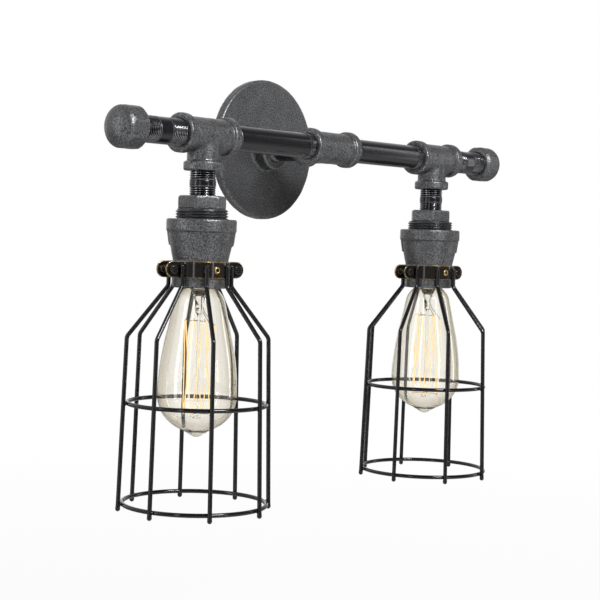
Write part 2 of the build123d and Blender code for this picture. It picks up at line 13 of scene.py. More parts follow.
import bmesh
import bpy
import numpy as np
from mathutils import Matrix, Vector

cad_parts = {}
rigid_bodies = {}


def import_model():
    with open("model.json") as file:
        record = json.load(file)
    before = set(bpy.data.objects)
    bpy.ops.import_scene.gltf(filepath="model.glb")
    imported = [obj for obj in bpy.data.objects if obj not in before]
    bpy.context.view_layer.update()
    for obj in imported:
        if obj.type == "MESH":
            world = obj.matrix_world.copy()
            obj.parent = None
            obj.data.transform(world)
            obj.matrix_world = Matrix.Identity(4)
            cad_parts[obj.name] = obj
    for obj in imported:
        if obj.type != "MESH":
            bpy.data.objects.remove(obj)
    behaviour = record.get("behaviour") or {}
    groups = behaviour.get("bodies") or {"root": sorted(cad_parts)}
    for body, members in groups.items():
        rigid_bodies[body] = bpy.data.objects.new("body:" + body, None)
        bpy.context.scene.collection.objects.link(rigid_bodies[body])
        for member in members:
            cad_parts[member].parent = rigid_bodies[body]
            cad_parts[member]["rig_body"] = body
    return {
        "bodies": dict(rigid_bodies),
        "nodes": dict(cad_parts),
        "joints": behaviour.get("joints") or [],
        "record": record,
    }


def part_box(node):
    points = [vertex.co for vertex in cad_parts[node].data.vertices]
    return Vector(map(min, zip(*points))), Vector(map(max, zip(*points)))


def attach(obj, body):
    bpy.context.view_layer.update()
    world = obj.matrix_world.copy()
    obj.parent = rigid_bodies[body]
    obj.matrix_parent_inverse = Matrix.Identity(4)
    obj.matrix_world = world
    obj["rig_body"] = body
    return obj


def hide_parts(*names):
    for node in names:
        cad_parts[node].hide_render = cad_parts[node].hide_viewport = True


LOG = logging.getLogger("pipe_wall_light")
MM = 0.001
Vector3 = tuple[float, float, float]
Colour = tuple[float, float, float]
Ramp = tuple[float, ...]  # a value's low and high end, and the results there if not 0 and 1
Node, Socket = bpy.types.Node, bpy.types.NodeSocket
Material, Object = bpy.types.Material, bpy.types.Object


class Side(Enum):
    """The two lamps, by the side of the wall plate that they hang on."""

    LEFT = "left"
    RIGHT = "right"

    def node(self, piece: str) -> str:
        """Name of this side's copy of a piece or body."""
        return f"{self.value}_{piece}"


class Way(Enum):
    """Directions that a turned piece's axis can point in."""

    ALONG_BAR = (1.0, 0.0, 0.0)
    AGAINST_BAR = (-1.0, 0.0, 0.0)
    TO_ROOM = (0.0, -1.0, 0.0)
    UP = (0.0, 0.0, 1.0)


# ---- node graphs of materials ----


class Graph:
    """Small helper that adds and joins a material's nodes."""

    def __init__(self, name: str) -> None:
        """Start an empty material.

        Args:
            name: the material's name.
        """
        self.material = bpy.data.materials.new(name)
        self.material.use_nodes = True
        self.tree = self.material.node_tree
        self.tree.nodes.clear()

    @classmethod
    def over(cls, tree: bpy.types.NodeTree) -> "Graph":
        """Helper for a tree that already exists, which it empties.

        Args:
            tree: the nodes of a world.

        Returns:
            The helper.
        """
        graph = cls.__new__(cls)
        graph.tree = tree
        tree.nodes.clear()
        return graph

    def add(self, kind: str, **settings: object) -> Node:
        """Add a node.

        Args:
            kind: the node's Blender type.
            **settings: properties of the node, or default values of its inputs.

        Returns:
            The new node.
        """
        node = self.tree.nodes.new(kind)
        for key, value in settings.items():
            if hasattr(node, key):
                setattr(node, key, value)
            else:
                node.inputs[key.replace("_", " ")].default_value = value
        return node

    def join(self, start: Socket, end: Socket) -> None:
        """Link two sockets."""
        self.tree.links.new(start, end)

    def place(self) -> Socket:
        """Socket with the point's place on the object, in metres."""
        return self.add("ShaderNodeTexCoord").outputs["Object"]

    def noise(self, place: Socket, size: float, detail: float = 2.0,
              roughness: float = 0.5) -> Socket:
        """Fractal noise.

        Args:
            place: where the noise is read.
            size: size of one blotch, in metres.
            detail: octaves of finer noise.
            roughness: strength of the finer octaves.

        Returns:
            A socket with values round 0.5.
        """
        node = self.add("ShaderNodeTexNoise", Scale=1.0 / size, Detail=detail, Roughness=roughness)
        self.join(place, node.inputs["Vector"])
        return node.outputs["Fac"]

    def ramp(self, value: Socket, low: float, high: float,
             start: float = 0.0, end: float = 1.0) -> Socket:
        """Straight ramp of a value, clamped at both ends.

        Args:
            value: the socket to change.
            low: value that gives start.
            high: value that gives end.
            start: result at low.
            end: result at high.

        Returns:
            The ramped socket.
        """
        node = self.add("ShaderNodeMapRange", clamp=True)
        node.inputs["From Min"].default_value = low
        node.inputs["From Max"].default_value = high
        node.inputs["To Min"].default_value = start
        node.inputs["To Max"].default_value = end
        self.join(value, node.inputs["Value"])
        return node.outputs["Result"]

    def mix(self, share: Socket, first: Colour | Socket,
            second: Colour | Socket) -> Socket:
        """Blend of two colours.

        Args:
            share: 0 for the first colour, 1 for the second.
            first: a colour, or a socket with one.
            second: a colour, or a socket with one.

        Returns:
            A socket with the blended colour.
        """
        node = self.add("ShaderNodeMix", data_type="RGBA")
        self.join(share, node.inputs["Factor"])
        for socket, colour in ((node.inputs[6], first), (node.inputs[7], second)):
            if isinstance(colour, tuple):
                socket.default_value = (*colour, 1.0)
            else:
                self.join(colour, socket)
        return node.outputs[2]

    def most(self, first: Socket, second: Socket,
             operation: str = "MAXIMUM") -> Socket:
        """One number from two, by a named operation."""
        node = self.add("ShaderNodeMath", operation=operation)
        self.join(first, node.inputs[0])
        self.join(second, node.inputs[1])
        return node.outputs[0]

    def attribute(self, name: str) -> Socket:
        """Number stored on the mesh's points under a name."""
        return self.add("ShaderNodeAttribute", attribute_name=name).outputs["Fac"]

    def bumped(self, height: Socket, depth: float, strength: float) -> Node:
        """Bump node that reads a height.

        Args:
            height: the height, from 0 to 1.
            depth: real height of the bumps, in metres.
            strength: share of the bump that shows.

        Returns:
            The bump node.
        """
        node = self.add("ShaderNodeBump", Strength=strength, Distance=depth)
        self.join(height, node.inputs["Height"])
        return node

    def shader(self, **values: object) -> Node:
        """Principled shader joined to the output, with its own constants set.

        Args:
            **values: input names, with _ for spaces, and their values.

        Returns:
            The shader node.
        """
        node = self.add("ShaderNodeBsdfPrincipled", **values)
        output = self.add("ShaderNodeOutputMaterial")
        self.join(node.outputs[0], output.inputs["Surface"])
        return node

    def coated(self, colour: Socket, rough: Socket, height: Socket, depth: float,
               bump: float = 0.5, **values: object) -> Node:
        """Principled shader with a colour, a roughness and a bump joined to it.

        Args:
            colour: the base colour.
            rough: the roughness.
            height: the bump's height, from 0 to 1.
            depth: real height of the bumps, in metres.
            bump: share of the bump that shows.
            **values: constants of the shader.

        Returns:
            The shader node.
        """
        shader = self.shader(**values)
        self.join(colour, shader.inputs["Base Color"])
        self.join(rough, shader.inputs["Roughness"])
        self.join(self.bumped(height, depth, bump).outputs[0], shader.inputs["Normal"])
        return shader

    def blended(self, share: Socket, first: Node, second: Node, output: str) -> None:
        """Send a blend of two shaders to an output.

        Args:
            share: 0 for the first shader, 1 for the second.
            first: a shader node.
            second: a shader node.
            output: the output node's Blender type.
        """
        blend = self.add("ShaderNodeMixShader")
        for socket, start in zip(blend.inputs, (share, first.outputs[0], second.outputs[0])):
            self.join(start, socket)
        self.join(blend.outputs[0], self.add(output).inputs["Surface"])


@dataclass(frozen=True)
class CastIron:
    """Black malleable casting: speckled by the sand it was poured in, with a dull sheen."""

    name: str = "black_cast_iron"
    dark: Colour = (0.036, 0.037, 0.039)
    light: Colour = (0.2, 0.201, 0.206)
    rubbed: Colour = (0.34, 0.34, 0.345)
    cut: Colour = (0.065, 0.065, 0.068)
    grain: float = 1.15 * MM
    blotch: float = 18 * MM
    speckle: Ramp = (0.36, 0.7)
    stains: Ramp = (0.35, 0.7, 0.0, 0.35)
    patchy: Ramp = (0.35, 0.75, 0.0, 0.7)
    roughness: Ramp = (0.0, 1.0, 0.44, 0.32)
    cut_gloss: Ramp = (0.0, 1.0, 0.0, 0.1)
    depth: float = 0.26 * MM
    bump: float = 0.9
    metallic: float = 0.72
    specular: float = 0.4

    def material(self) -> Material:
        """Build the material from a fine grain and slow blotches.

        The mesh's number bare says where edges are rubbed, and its number cut where a thread
        is cut into the casting.

        Returns:
            The material.
        """
        graph = Graph(self.name)
        place = graph.place()
        grain = graph.noise(place, self.grain, detail=2.0, roughness=0.55)
        blotch = graph.noise(place, self.blotch, detail=3.0)
        speckle = graph.ramp(grain, *self.speckle)
        base = graph.mix(speckle, self.dark, self.light)
        base = graph.mix(graph.ramp(blotch, *self.stains), base, self.dark)
        patchy = graph.ramp(grain, *self.patchy)
        worn = graph.most(graph.attribute("bare"), patchy, "MULTIPLY")
        base = graph.mix(worn, base, self.rubbed)
        cut = graph.attribute("cut")
        dull = graph.ramp(speckle, *self.roughness)
        rough = graph.most(dull, graph.ramp(cut, *self.cut_gloss), "SUBTRACT")
        graph.coated(graph.mix(cut, base, self.cut), rough, grain, self.depth, self.bump,
                     Metallic=self.metallic, Specular_IOR_Level=self.specular)
        return graph.material


@dataclass(frozen=True)
class BlackPipe:
    """Lacquered black pipe, whose cut threads are bare steel darkened by cutting oil; the steel shows
    lighter along the crests, partly worn steel and partly a painted highlight.
    """

    name: str = "black_pipe"
    lacquer: Colour = (0.005, 0.005, 0.0065)
    steel: Colour = (0.34, 0.34, 0.36)
    oil: Colour = (0.03, 0.03, 0.032)
    streak: float = 2.2 * MM
    patch: float = 7 * MM
    rubbed: Ramp = (0.3, 0.6, 0.55, 1.0)
    roughness: Ramp = (0.3, 0.7, 0.14, 0.27)
    depth: float = 0.02 * MM
    specular: float = 0.4

    def material(self) -> Material:
        """Build the material; the mesh's number bare says where steel shows, and crest where the crests
        are lighter steel, partly worn steel and partly a painted highlight.
        """
        graph = Graph(self.name)
        place = graph.place()
        drawn = graph.noise(place, self.streak, detail=4.0, roughness=0.6)
        rubbed = graph.ramp(graph.noise(place, self.patch, detail=3.0), *self.rubbed)
        bare = graph.attribute("bare")
        # crest: lighter steel on the thread crests, partly worn steel and partly a painted highlight
        crest = graph.most(graph.attribute("crest"), rubbed, "MULTIPLY")
        base = graph.mix(bare, self.lacquer, graph.mix(crest, self.oil, self.steel))
        shader = graph.coated(base, graph.ramp(drawn, *self.roughness), drawn, self.depth,
                              Specular_IOR_Level=self.specular)
        graph.join(bare, shader.inputs["Metallic"])
        return graph.material


@dataclass(frozen=True)
class Enamel:
    """Gloss black paint over brass, thin at the edges."""

    name: str = "black_enamel"
    paint: Colour = (0.005, 0.005, 0.006)
    under: Colour = (0.5, 0.34, 0.13)
    peel: float = 1.6 * MM
    chip: float = 1.1 * MM
    chipped: Ramp = (0.38, 0.56)
    roughness: Ramp = (0.0, 1.0, 0.11, 0.38)
    depth: float = 0.01 * MM
    specular: float = 0.35

    def material(self) -> Material:
        """Build the material; the mesh's number bare says where the paint has gone."""
        graph = Graph(self.name)
        place = graph.place()
        peel = graph.noise(place, self.peel, detail=2.0)
        chips = graph.ramp(graph.noise(place, self.chip, detail=4.0, roughness=0.7), *self.chipped)
        wear = graph.most(graph.attribute("bare"), chips, "MULTIPLY")
        shader = graph.coated(
            graph.mix(wear, self.paint, self.under), graph.ramp(wear, *self.roughness),
            peel, self.depth, Specular_IOR_Level=self.specular,
        )
        graph.join(wear, shader.inputs["Metallic"])
        return graph.material


@dataclass(frozen=True)
class BareMetal:
    """Plain machined metal with fine turning marks and slight tarnish."""

    name: str
    bright: Colour
    dull: Colour
    roughness: float = 0.32
    smoother: float = 0.08
    rougher: float = 0.1
    mark: float = 0.35 * MM
    stain: float = 5 * MM
    stained: Ramp = (0.35, 0.7)
    marked: Ramp = (0.3, 0.7)
    depth: float = 0.02 * MM

    def material(self) -> Material:
        """Build the material from fine marks and a slow tarnish."""
        graph = Graph(self.name)
        place = graph.place()
        marks = graph.noise(place, self.mark, detail=3.0)
        tarnish = graph.ramp(graph.noise(place, self.stain, detail=4.0), *self.stained)
        rough = graph.ramp(marks, *self.marked, self.roughness - self.smoother,
                           self.roughness + self.rougher)
        graph.coated(graph.mix(tarnish, self.bright, self.dull), rough, marks, self.depth,
                     Metallic=1.0)
        return graph.material


@dataclass(frozen=True)
class Moulding:
    """Hard moulded plastic, glass bead or wire insulation, slightly uneven in gloss."""

    name: str
    colour: Colour
    fleck: Colour
    roughness: float = 0.35
    uneven: float = 0.06
    speck: float = 0.9 * MM
    patch: float = 6 * MM
    flecked: Ramp = (0.5, 0.8)
    patchy: Ramp = (0.3, 0.7)
    depth: float = 0.02 * MM
    bump: float = 0.4
    specular: float = 0.5

    def material(self) -> Material:
        """Build the material from faint flecks and uneven gloss."""
        graph = Graph(self.name)
        place = graph.place()
        fleck = graph.noise(place, self.speck, detail=3.0)
        sheen = graph.noise(place, self.patch, detail=2.0)
        rough = graph.ramp(sheen, *self.patchy, self.roughness - self.uneven,
                           self.roughness + self.uneven)
        base = graph.mix(graph.ramp(fleck, *self.flecked), self.colour, self.fleck)
        graph.coated(base, rough, fleck, self.depth, self.bump, Specular_IOR_Level=self.specular)
        return graph.material


@dataclass(frozen=True)
class BlownGlass:
    """Blown glass with a faint warm tint and slow waves."""

    name: str
    tint: Colour
    edge: Colour
    index: float = 1.46
    rim: Ramp = (0.12, 0.8)
    wave: float = 22 * MM
    depth: float = 0.6 * MM
    bump: float = 0.35

    def material(self) -> Material:
        """Build the glass: more of its tint shows where the wall is seen edge-on."""
        graph = Graph(self.name)
        waves = graph.noise(graph.place(), self.wave, detail=1.0)
        shader = graph.shader(Transmission_Weight=1.0, Roughness=0.0, IOR=self.index)
        facing = graph.add("ShaderNodeLayerWeight", Blend=0.5).outputs["Facing"]
        base = graph.mix(graph.ramp(facing, *self.rim), self.tint, self.edge)
        graph.join(base, shader.inputs["Base Color"])
        graph.join(graph.bumped(waves, self.depth, self.bump).outputs[0], shader.inputs["Normal"])
        return graph.material


@dataclass(frozen=True)
class PaintedGlowWire:
    """Carbon filament with a painted glow: the bulb is unlit, and a low warm emission stands in for light
    on the wire.
    """

    name: str = "painted_glow_filament"
    colour: Colour = (0.95, 0.68, 0.3)
    strength: float = 0.95
    cooler: float = 0.72
    char: Colour = (0.55, 0.3, 0.1)
    ash: Colour = (0.8, 0.5, 0.2)
    stretch: float = 7 * MM
    uneven: Ramp = (0.35, 0.65)

    def material(self) -> Material:
        """Build the material, with the painted glow brighter and duller along the wire."""
        graph = Graph(self.name)
        uneven = graph.noise(graph.place(), self.stretch, detail=2.0)
        # painted glow: emission on the filament of an unlit bulb
        shader = graph.shader(Roughness=0.45, Metallic=0.6, Emission_Strength=self.strength)
        warm = tuple(self.cooler * part for part in self.colour)
        painted_glow = graph.mix(graph.ramp(uneven, *self.uneven), self.colour, warm)
        graph.join(painted_glow, shader.inputs["Emission Color"])
        graph.join(graph.mix(uneven, self.char, self.ash), shader.inputs["Base Color"])
        return graph.material


# ---- surfaces ----


@dataclass
class Surface:
    """Points, four-cornered faces and the numbers stored on the points."""

    points: np.ndarray
    faces: np.ndarray
    numbers: dict[str, np.ndarray] = field(default_factory=dict)

    def moved(self, basis: np.ndarray, centre: np.ndarray) -> "Surface":
        """The surface turned by a 3 x 3 basis and moved to a centre."""
        return Surface(self.points @ basis.T + centre, self.faces, self.numbers)

    @staticmethod
    def joined(parts: list["Surface"]) -> "Surface":
        """One surface out of several, with their numbers, or 0 where a part has none."""
        names = sorted({name for part in parts for name in part.numbers})
        starts = np.cumsum([0] + [len(part.points) for part in parts[:-1]])
        numbers = {
            name: np.concatenate([part.numbers.get(name, np.zeros(len(part.points))) for part in parts])
            for name in names
        }
        return Surface(
            np.concatenate([part.points for part in parts]),
            np.concatenate([part.faces + start for part, start in zip(parts, starts)]),
            numbers,
        )


def grid_faces(rows: int, columns: int, closed_rows: bool = False,
               closed_columns: bool = True) -> np.ndarray:
    """Four-cornered faces of a grid of points stored row by row.

    Face (i, j) joins points (i, j), (i, j+1), (i+1, j+1) and (i+1, j).

    Args:
        rows: number of rows.
        columns: points in each row.
        closed_rows: whether the last row joins the first.
        closed_columns: whether each row closes on itself.

    Returns:
        Whole numbers, four to a face.
    """
    row = np.arange(rows if closed_rows else rows - 1)
    column = np.arange(columns if closed_columns else columns - 1)
    i, j = np.meshgrid(row, column, indexing="ij")
    down, along = (i + 1) % rows, (j + 1) % columns
    corners = (i * columns + j, i * columns + along, down * columns + along, down * columns + j)
    return np.stack([corner.ravel() for corner in corners], axis=1)


def turned(radius: np.ndarray, height: np.ndarray, angle: np.ndarray, closed: bool = False,
           **numbers: np.ndarray) -> Surface:
    """Surface (r cos a, r sin a, h) over rows of radius and height and columns of angle.

    Radius and height may be one column, the same at every angle, or a full grid. Rows run so that
    faces point outwards when the outline goes up on its outer side.

    Args:
        radius: radii, one row for each point of the outline.
        height: heights, as radius.
        angle: angles of the columns, once round.
        closed: whether the outline closes on itself.
        **numbers: grids of numbers to store on the points.

    Returns:
        The surface.
    """
    shape = (len(radius), len(angle))
    radius = np.broadcast_to(radius.reshape(len(radius), -1), shape)
    height = np.broadcast_to(height.reshape(len(height), -1), shape)
    points = np.stack([radius * np.cos(angle), radius * np.sin(angle), height], axis=-1)
    stored = {
        name: np.broadcast_to(grid.reshape(len(grid), -1), shape).ravel()
        for name, grid in numbers.items()
    }
    return Surface(points.reshape(-1, 3), grid_faces(*shape, closed_rows=closed), stored)


def around(count: int) -> np.ndarray:
    """Evenly spaced angles, once round."""
    return np.arange(count) * 2 * np.pi / count


def helix(height: np.ndarray, angle: np.ndarray, pitch: float) -> np.ndarray:
    """Wave that falls and rises between 1 and 0 once in each turn of h / pitch - a / 2 pi."""
    return np.abs(((height / pitch - angle / (2 * np.pi)) % 1.0) * 2 - 1)


def basis_of(way: Vector3) -> np.ndarray:
    """Right-handed basis, as columns, whose third direction is the given one."""
    third = np.array(way, float)
    third /= np.linalg.norm(third)
    guess = np.array([0.0, 0.0, 1.0]) if abs(third[2]) < 0.9 else np.array([0.0, 1.0, 0.0])
    first = np.cross(guess, third)
    first /= np.linalg.norm(first)
    return np.stack([first, np.cross(third, first), third], axis=1)


def tube(path: np.ndarray, radius: np.ndarray, sides: int) -> Surface:
    """Round tube along a path: each ring of points is a circle across the path's direction.

    The ring's first direction is carried from ring to ring by taking away its part along the path,
    so the tube doesn't twist. A radius of 0 at an end closes the tube there.

    Args:
        path: points along the middle, one row each.
        radius: radius at each point.
        sides: points round the tube.

    Returns:
        The tube's surface.
    """
    along = np.gradient(path, axis=0)
    along /= np.linalg.norm(along, axis=1, keepdims=True)
    across = np.empty_like(path)
    side = basis_of(tuple(along[0]))[:, 0]
    for index, direction in enumerate(along):
        side = side - direction * (side @ direction)
        side /= np.linalg.norm(side)
        across[index] = side
    second = np.cross(along, across)
    angle = around(sides)
    cosine, sine = np.cos(angle)[None, :, None], np.sin(angle)[None, :, None]
    rings = across[:, None] * cosine + second[:, None] * sine
    points = path[:, None] + rings * radius[:, None, None]
    return Surface(points.reshape(-1, 3), grid_faces(len(path), sides))


def wire(path: np.ndarray, radius: float | np.ndarray, sides: int = 20, steps: int = 5) -> Surface:
    """Tube with half-round ends: of radius r cos t at a distance r sin t beyond each end.

    Args:
        path: points along the middle.
        radius: radius of the wire, or one at each point.
        sides: points round the wire.
        steps: rings in each end.

    Returns:
        The closed surface.
    """
    turn = np.linspace(0, np.pi / 2, steps + 1)[1:]
    along = np.broadcast_to(np.asarray(radius, float), len(path))
    start = (path[0] - path[1]) / np.linalg.norm(path[0] - path[1])
    end = (path[-1] - path[-2]) / np.linalg.norm(path[-1] - path[-2])
    head = path[0] + start * (along[0] * np.sin(turn[::-1]))[:, None]
    tail = path[-1] + end * (along[-1] * np.sin(turn))[:, None]
    radii = np.concatenate([along[0] * np.cos(turn[::-1]), along, along[-1] * np.cos(turn)])
    return tube(np.concatenate([head, path, tail]), radii, sides)


def bent(corners: list[Vector3], bend: float, step: float) -> np.ndarray:
    """Points along straight runs joined by arcs tangent to both.

    At a corner the arc's centre is R / cos(half the turn) from the corner, along the line that
    halves the angle between the runs, and the path goes round it from one run to the other.

    Args:
        corners: the runs' end points.
        bend: radius of each arc.
        step: greatest distance between points on an arc.

    Returns:
        The points, one row each.
    """
    corner = np.array(corners, float)
    runs = np.diff(corner, axis=0)
    unit = runs / np.linalg.norm(runs, axis=1, keepdims=True)
    parts = [corner[:1]]
    for index in range(1, len(corner) - 1):
        before, after = unit[index - 1], unit[index]
        turn = math.acos(float(np.clip(before @ after, -1, 1)))
        inward = after - before
        inward /= np.linalg.norm(inward)
        centre = corner[index] + inward * (bend / math.cos(turn / 2))
        share = np.linspace(-turn / 2, turn / 2, max(3, int(bend * turn / step) + 1))[:, None]
        middle = before + after
        middle /= np.linalg.norm(middle)
        parts.append(centre - inward * bend * np.cos(share) + middle * bend * np.sin(share))
    parts.append(corner[-1:])
    return np.concatenate(parts)


def arc(start: complex, heading: complex, end: complex, steps: int) -> tuple[np.ndarray, complex]:
    """Circular arc that leaves a point along a heading and passes through another point.

    It turns by t, twice the angle from the heading to the chord, and its points are
    start + R h (e^(i t s) - 1) / i for s from 0 to 1, with R = chord / (2 sin(t / 2)).

    Args:
        start: first point, as radius + i height.
        heading: direction in which the arc leaves it.
        end: last point.
        steps: divisions of the arc.

    Returns:
        The points, and the heading at the end.
    """
    heading /= abs(heading)
    chord = end - start
    turn = 2 * float(np.angle(chord / heading))
    radius = abs(chord) / (2 * math.sin(turn / 2))
    share = np.linspace(0, 1, steps + 1)
    return start + radius * heading * (np.exp(1j * turn * share) - 1) / 1j, heading * np.exp(1j * turn)


def smooth_line(points: list[tuple[float, float]], steps: int) -> np.ndarray:
    """Smooth line through points: a cubic between each two, its slope there half the step from
    the point before to the point after (a Catmull-Rom curve).

    Args:
        points: the points that the line passes through.
        steps: divisions of each stretch.

    Returns:
        Points of the line, one row each.
    """
    knots = np.array(points, float)
    padded = np.concatenate([2 * knots[:1] - knots[1:2], knots, 2 * knots[-1:] - knots[-2:-1]])
    share = np.linspace(0, 1, steps, endpoint=False)[None, :, None]
    before, start, end, after = (padded[i:len(padded) - 3 + i][:, None] for i in range(4))
    line = 0.5 * (
        2 * start + (end - before) * share
        + (2 * before - 5 * start + 4 * end - after) * share ** 2
        + (3 * start - before - 3 * end + after) * share ** 3
    )
    return np.concatenate([line.reshape(-1, 2), knots[-1:]])


def lumps(points: np.ndarray, size: float, seed: int, waves: int = 14,
          gain: float = 2.2) -> np.ndarray:
    """Smooth unevenness from -1 to 1: the mean of sines of several directions and wavelengths.

    Args:
        points: where it is read, in metres.
        size: mean wavelength, in metres.
        seed: picks the directions.
        waves: number of sines.
        gain: brings their mean up to the whole range.

    Returns:
        One number for each point.
    """
    chance = np.random.default_rng(seed)
    way = chance.normal(size=(3, waves))
    way /= np.linalg.norm(way, axis=0)
    rate = 2 * np.pi / (size * chance.uniform(0.6, 1.6, waves))
    return np.sin(points @ (way * rate) + chance.uniform(0, 2 * np.pi, waves)).mean(axis=1) * gain


def linked(name: str, data: bpy.types.ID) -> Object:
    """New object with the given mesh, lamp or camera, linked to the scene."""
    thing = bpy.data.objects.new(name, data)
    bpy.context.scene.collection.objects.link(thing)
    return thing


def read(mesh: bpy.types.Mesh, what: str) -> np.ndarray:
    """Places (co) or directions (normal) of a mesh's points, one row each."""
    values = np.empty(len(mesh.vertices) * 3, np.float32)
    mesh.vertices.foreach_get(what, values)
    return values.reshape(-1, 3)


def store(mesh: bpy.types.Mesh, name: str, values: np.ndarray) -> None:
    """Store a number on each point of a mesh under a name."""
    layer = mesh.attributes.get(name) or mesh.attributes.new(name, "FLOAT", "POINT")
    layer.data.foreach_set("value", np.ascontiguousarray(values, np.float32))


def piece(name: str, surface: Surface, material: Material, crease: float = 40.0) -> Object:
    """Object made of a surface, smooth except across edges sharper than a limit.

    Args:
        name: the object's name.
        surface: its points, faces and numbers.
        material: its finish.
        crease: angle between faces, in degrees, above which an edge stays sharp.

    Returns:
        The new object, linked to the scene.
    """
    mesh = bpy.data.meshes.new(name)
    mesh.from_pydata(surface.points.tolist(), [], surface.faces.tolist())
    for label, values in surface.numbers.items():
        store(mesh, label, values)
    draft = bmesh.new()
    draft.from_mesh(mesh)
    bmesh.ops.remove_doubles(draft, verts=draft.verts, dist=1e-7)
    draft.to_mesh(mesh)
    draft.free()
    mesh.materials.append(material)
    mesh.shade_smooth()
    mesh.set_sharp_from_angle(angle=math.radians(crease))
    return linked(name, mesh)


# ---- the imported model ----


@dataclass
class Frame:
    """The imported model's nodes, and the material slot of each."""

    nodes: dict[str, Object]
    slots: dict[str, str]

    @classmethod
    def of(cls, loaded: dict) -> "Frame":
        slots = {row["node"]: row["material_slot"] for row in loaded["record"]["subparts"]}
        return cls(loaded["nodes"], slots)

    def corners(self, node: str) -> tuple[np.ndarray, np.ndarray]:
        """Lowest and highest corner of a node, in metres."""
        low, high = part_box(node)
        return np.array(low), np.array(high)

    def axis(self, node: str) -> np.ndarray:
        """Point on an upright piece's middle line, at the level of the bar."""
        low, high = self.corners(node)
        middle = (low + high) / 2
        return np.array([middle[0], middle[1], 0.0])

    def settle(self, thing: Object, node: str) -> None:
        """Let a piece stand for a node, which is hidden, and move with its body.

        Args:
            thing: the new piece.
            node: the node that it stands for.
        """
        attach(thing, self.nodes[node]["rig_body"])
        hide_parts(node)
        LOG.info("%s: %d faces for %s", thing.name, len(thing.data.polygons), node)

    def dress(self, node: str, material: Material) -> None:
        """Give a node that keeps its own mesh a new material.

        Args:
            node: the node.
            material: its finish.
        """
        for slot in self.nodes[node].material_slots:
            slot.material = material
        LOG.info("%s keeps its mesh, in %s", node, material.name)


# ---- pipe ----


@dataclass
class Nipple:
    """Pipe nipple with a cut helical thread at each end, of one length or of two."""

    node: str
    way: Way
    thread: float
    far_thread: float = 0.0
    bore: float = 15.8 * MM
    pitch: float = 1.81 * MM
    depth: float = 1.0 * MM
    fade: float = 2.6 * MM
    root: float = 0.16
    flank: float = 0.62
    lead: float = 0.35
    chamfer: float = 0.9 * MM
    chamfer_depth: float = 0.5 * MM
    columns: int = 96
    rows_per_turn: int = 9

    def surface(self, length: float, radius: float) -> Surface:
        """Outline up the outside and back down the bore, once round.

        The cut is depth * (1 - w), where w rises and falls once in each turn of the helix
        h / pitch - a / 2 pi, with flattened crests, and fades out over the thread's last turns.
        The thread's length holds at the low end and far_thread's, if given, at the high end.

        Args:
            length: length of the nipple.
            radius: outer radius of the pipe.

        Returns:
            The surface on Z, centred on the origin, with bare and crest stored on it; crest marks the tops
            of the crests, which the pipe paints lighter, partly as a painted highlight.
        """
        half = length / 2
        step = self.pitch / self.rows_per_turn
        far = self.far_thread or self.thread
        low = np.arange(-half, min(-half + self.thread + self.fade, -0.1 * MM), step)
        high = np.arange(-half, min(-half + far + self.fade, -0.1 * MM), step)
        height = np.concatenate([low, [0.0], -high[::-1]])[:, None]
        angle = around(self.columns)
        inwards = np.where(height < 0, self.thread, far) - (half - np.abs(height))
        wave = helix(height, angle, self.pitch)
        crest = np.clip((wave - self.root) / self.flank, 0, 1)
        strength = np.clip(inwards / self.fade + self.lead, 0, 1)
        cut = self.depth * (1 - crest) * strength
        beyond = np.abs(height) - (half - self.chamfer)
        chamfer = np.clip(beyond / self.chamfer, 0, 1) * self.chamfer_depth
        outer = radius - cut - chamfer
        bare = strength * np.ones_like(cut)
        # partly a painted highlight: the narrow tops of the crests are stored for lighter steel
        bright = np.clip((wave - 0.5) / 0.35, 0, 1)
        inner = np.full((2, self.columns), self.bore / 2)
        ends = np.array([[half], [-half]])
        none = np.zeros((2, self.columns))
        return turned(
            np.concatenate([outer, inner]), np.concatenate([height, ends]), angle, closed=True,
            bare=np.concatenate([bare, none + 1]), crest=np.concatenate([bright, none + 0.2]),
        )

    def build(self, frame: Frame, material: Material) -> None:
        """Put the nipple where its node is.

        Args:
            frame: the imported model.
            material: the pipe's finish.
        """
        low, high = frame.corners(self.node)
        size = high - low
        basis = basis_of(self.way.value)
        length = float(np.abs(size @ basis[:, 2]))
        radius = float(np.abs(size @ basis[:, 0])) / 2
        surface = self.surface(length, radius).moved(basis, (low + high) / 2)
        frame.settle(piece(f"{self.node}_pipe", surface, material), self.node)


# ---- castings ----


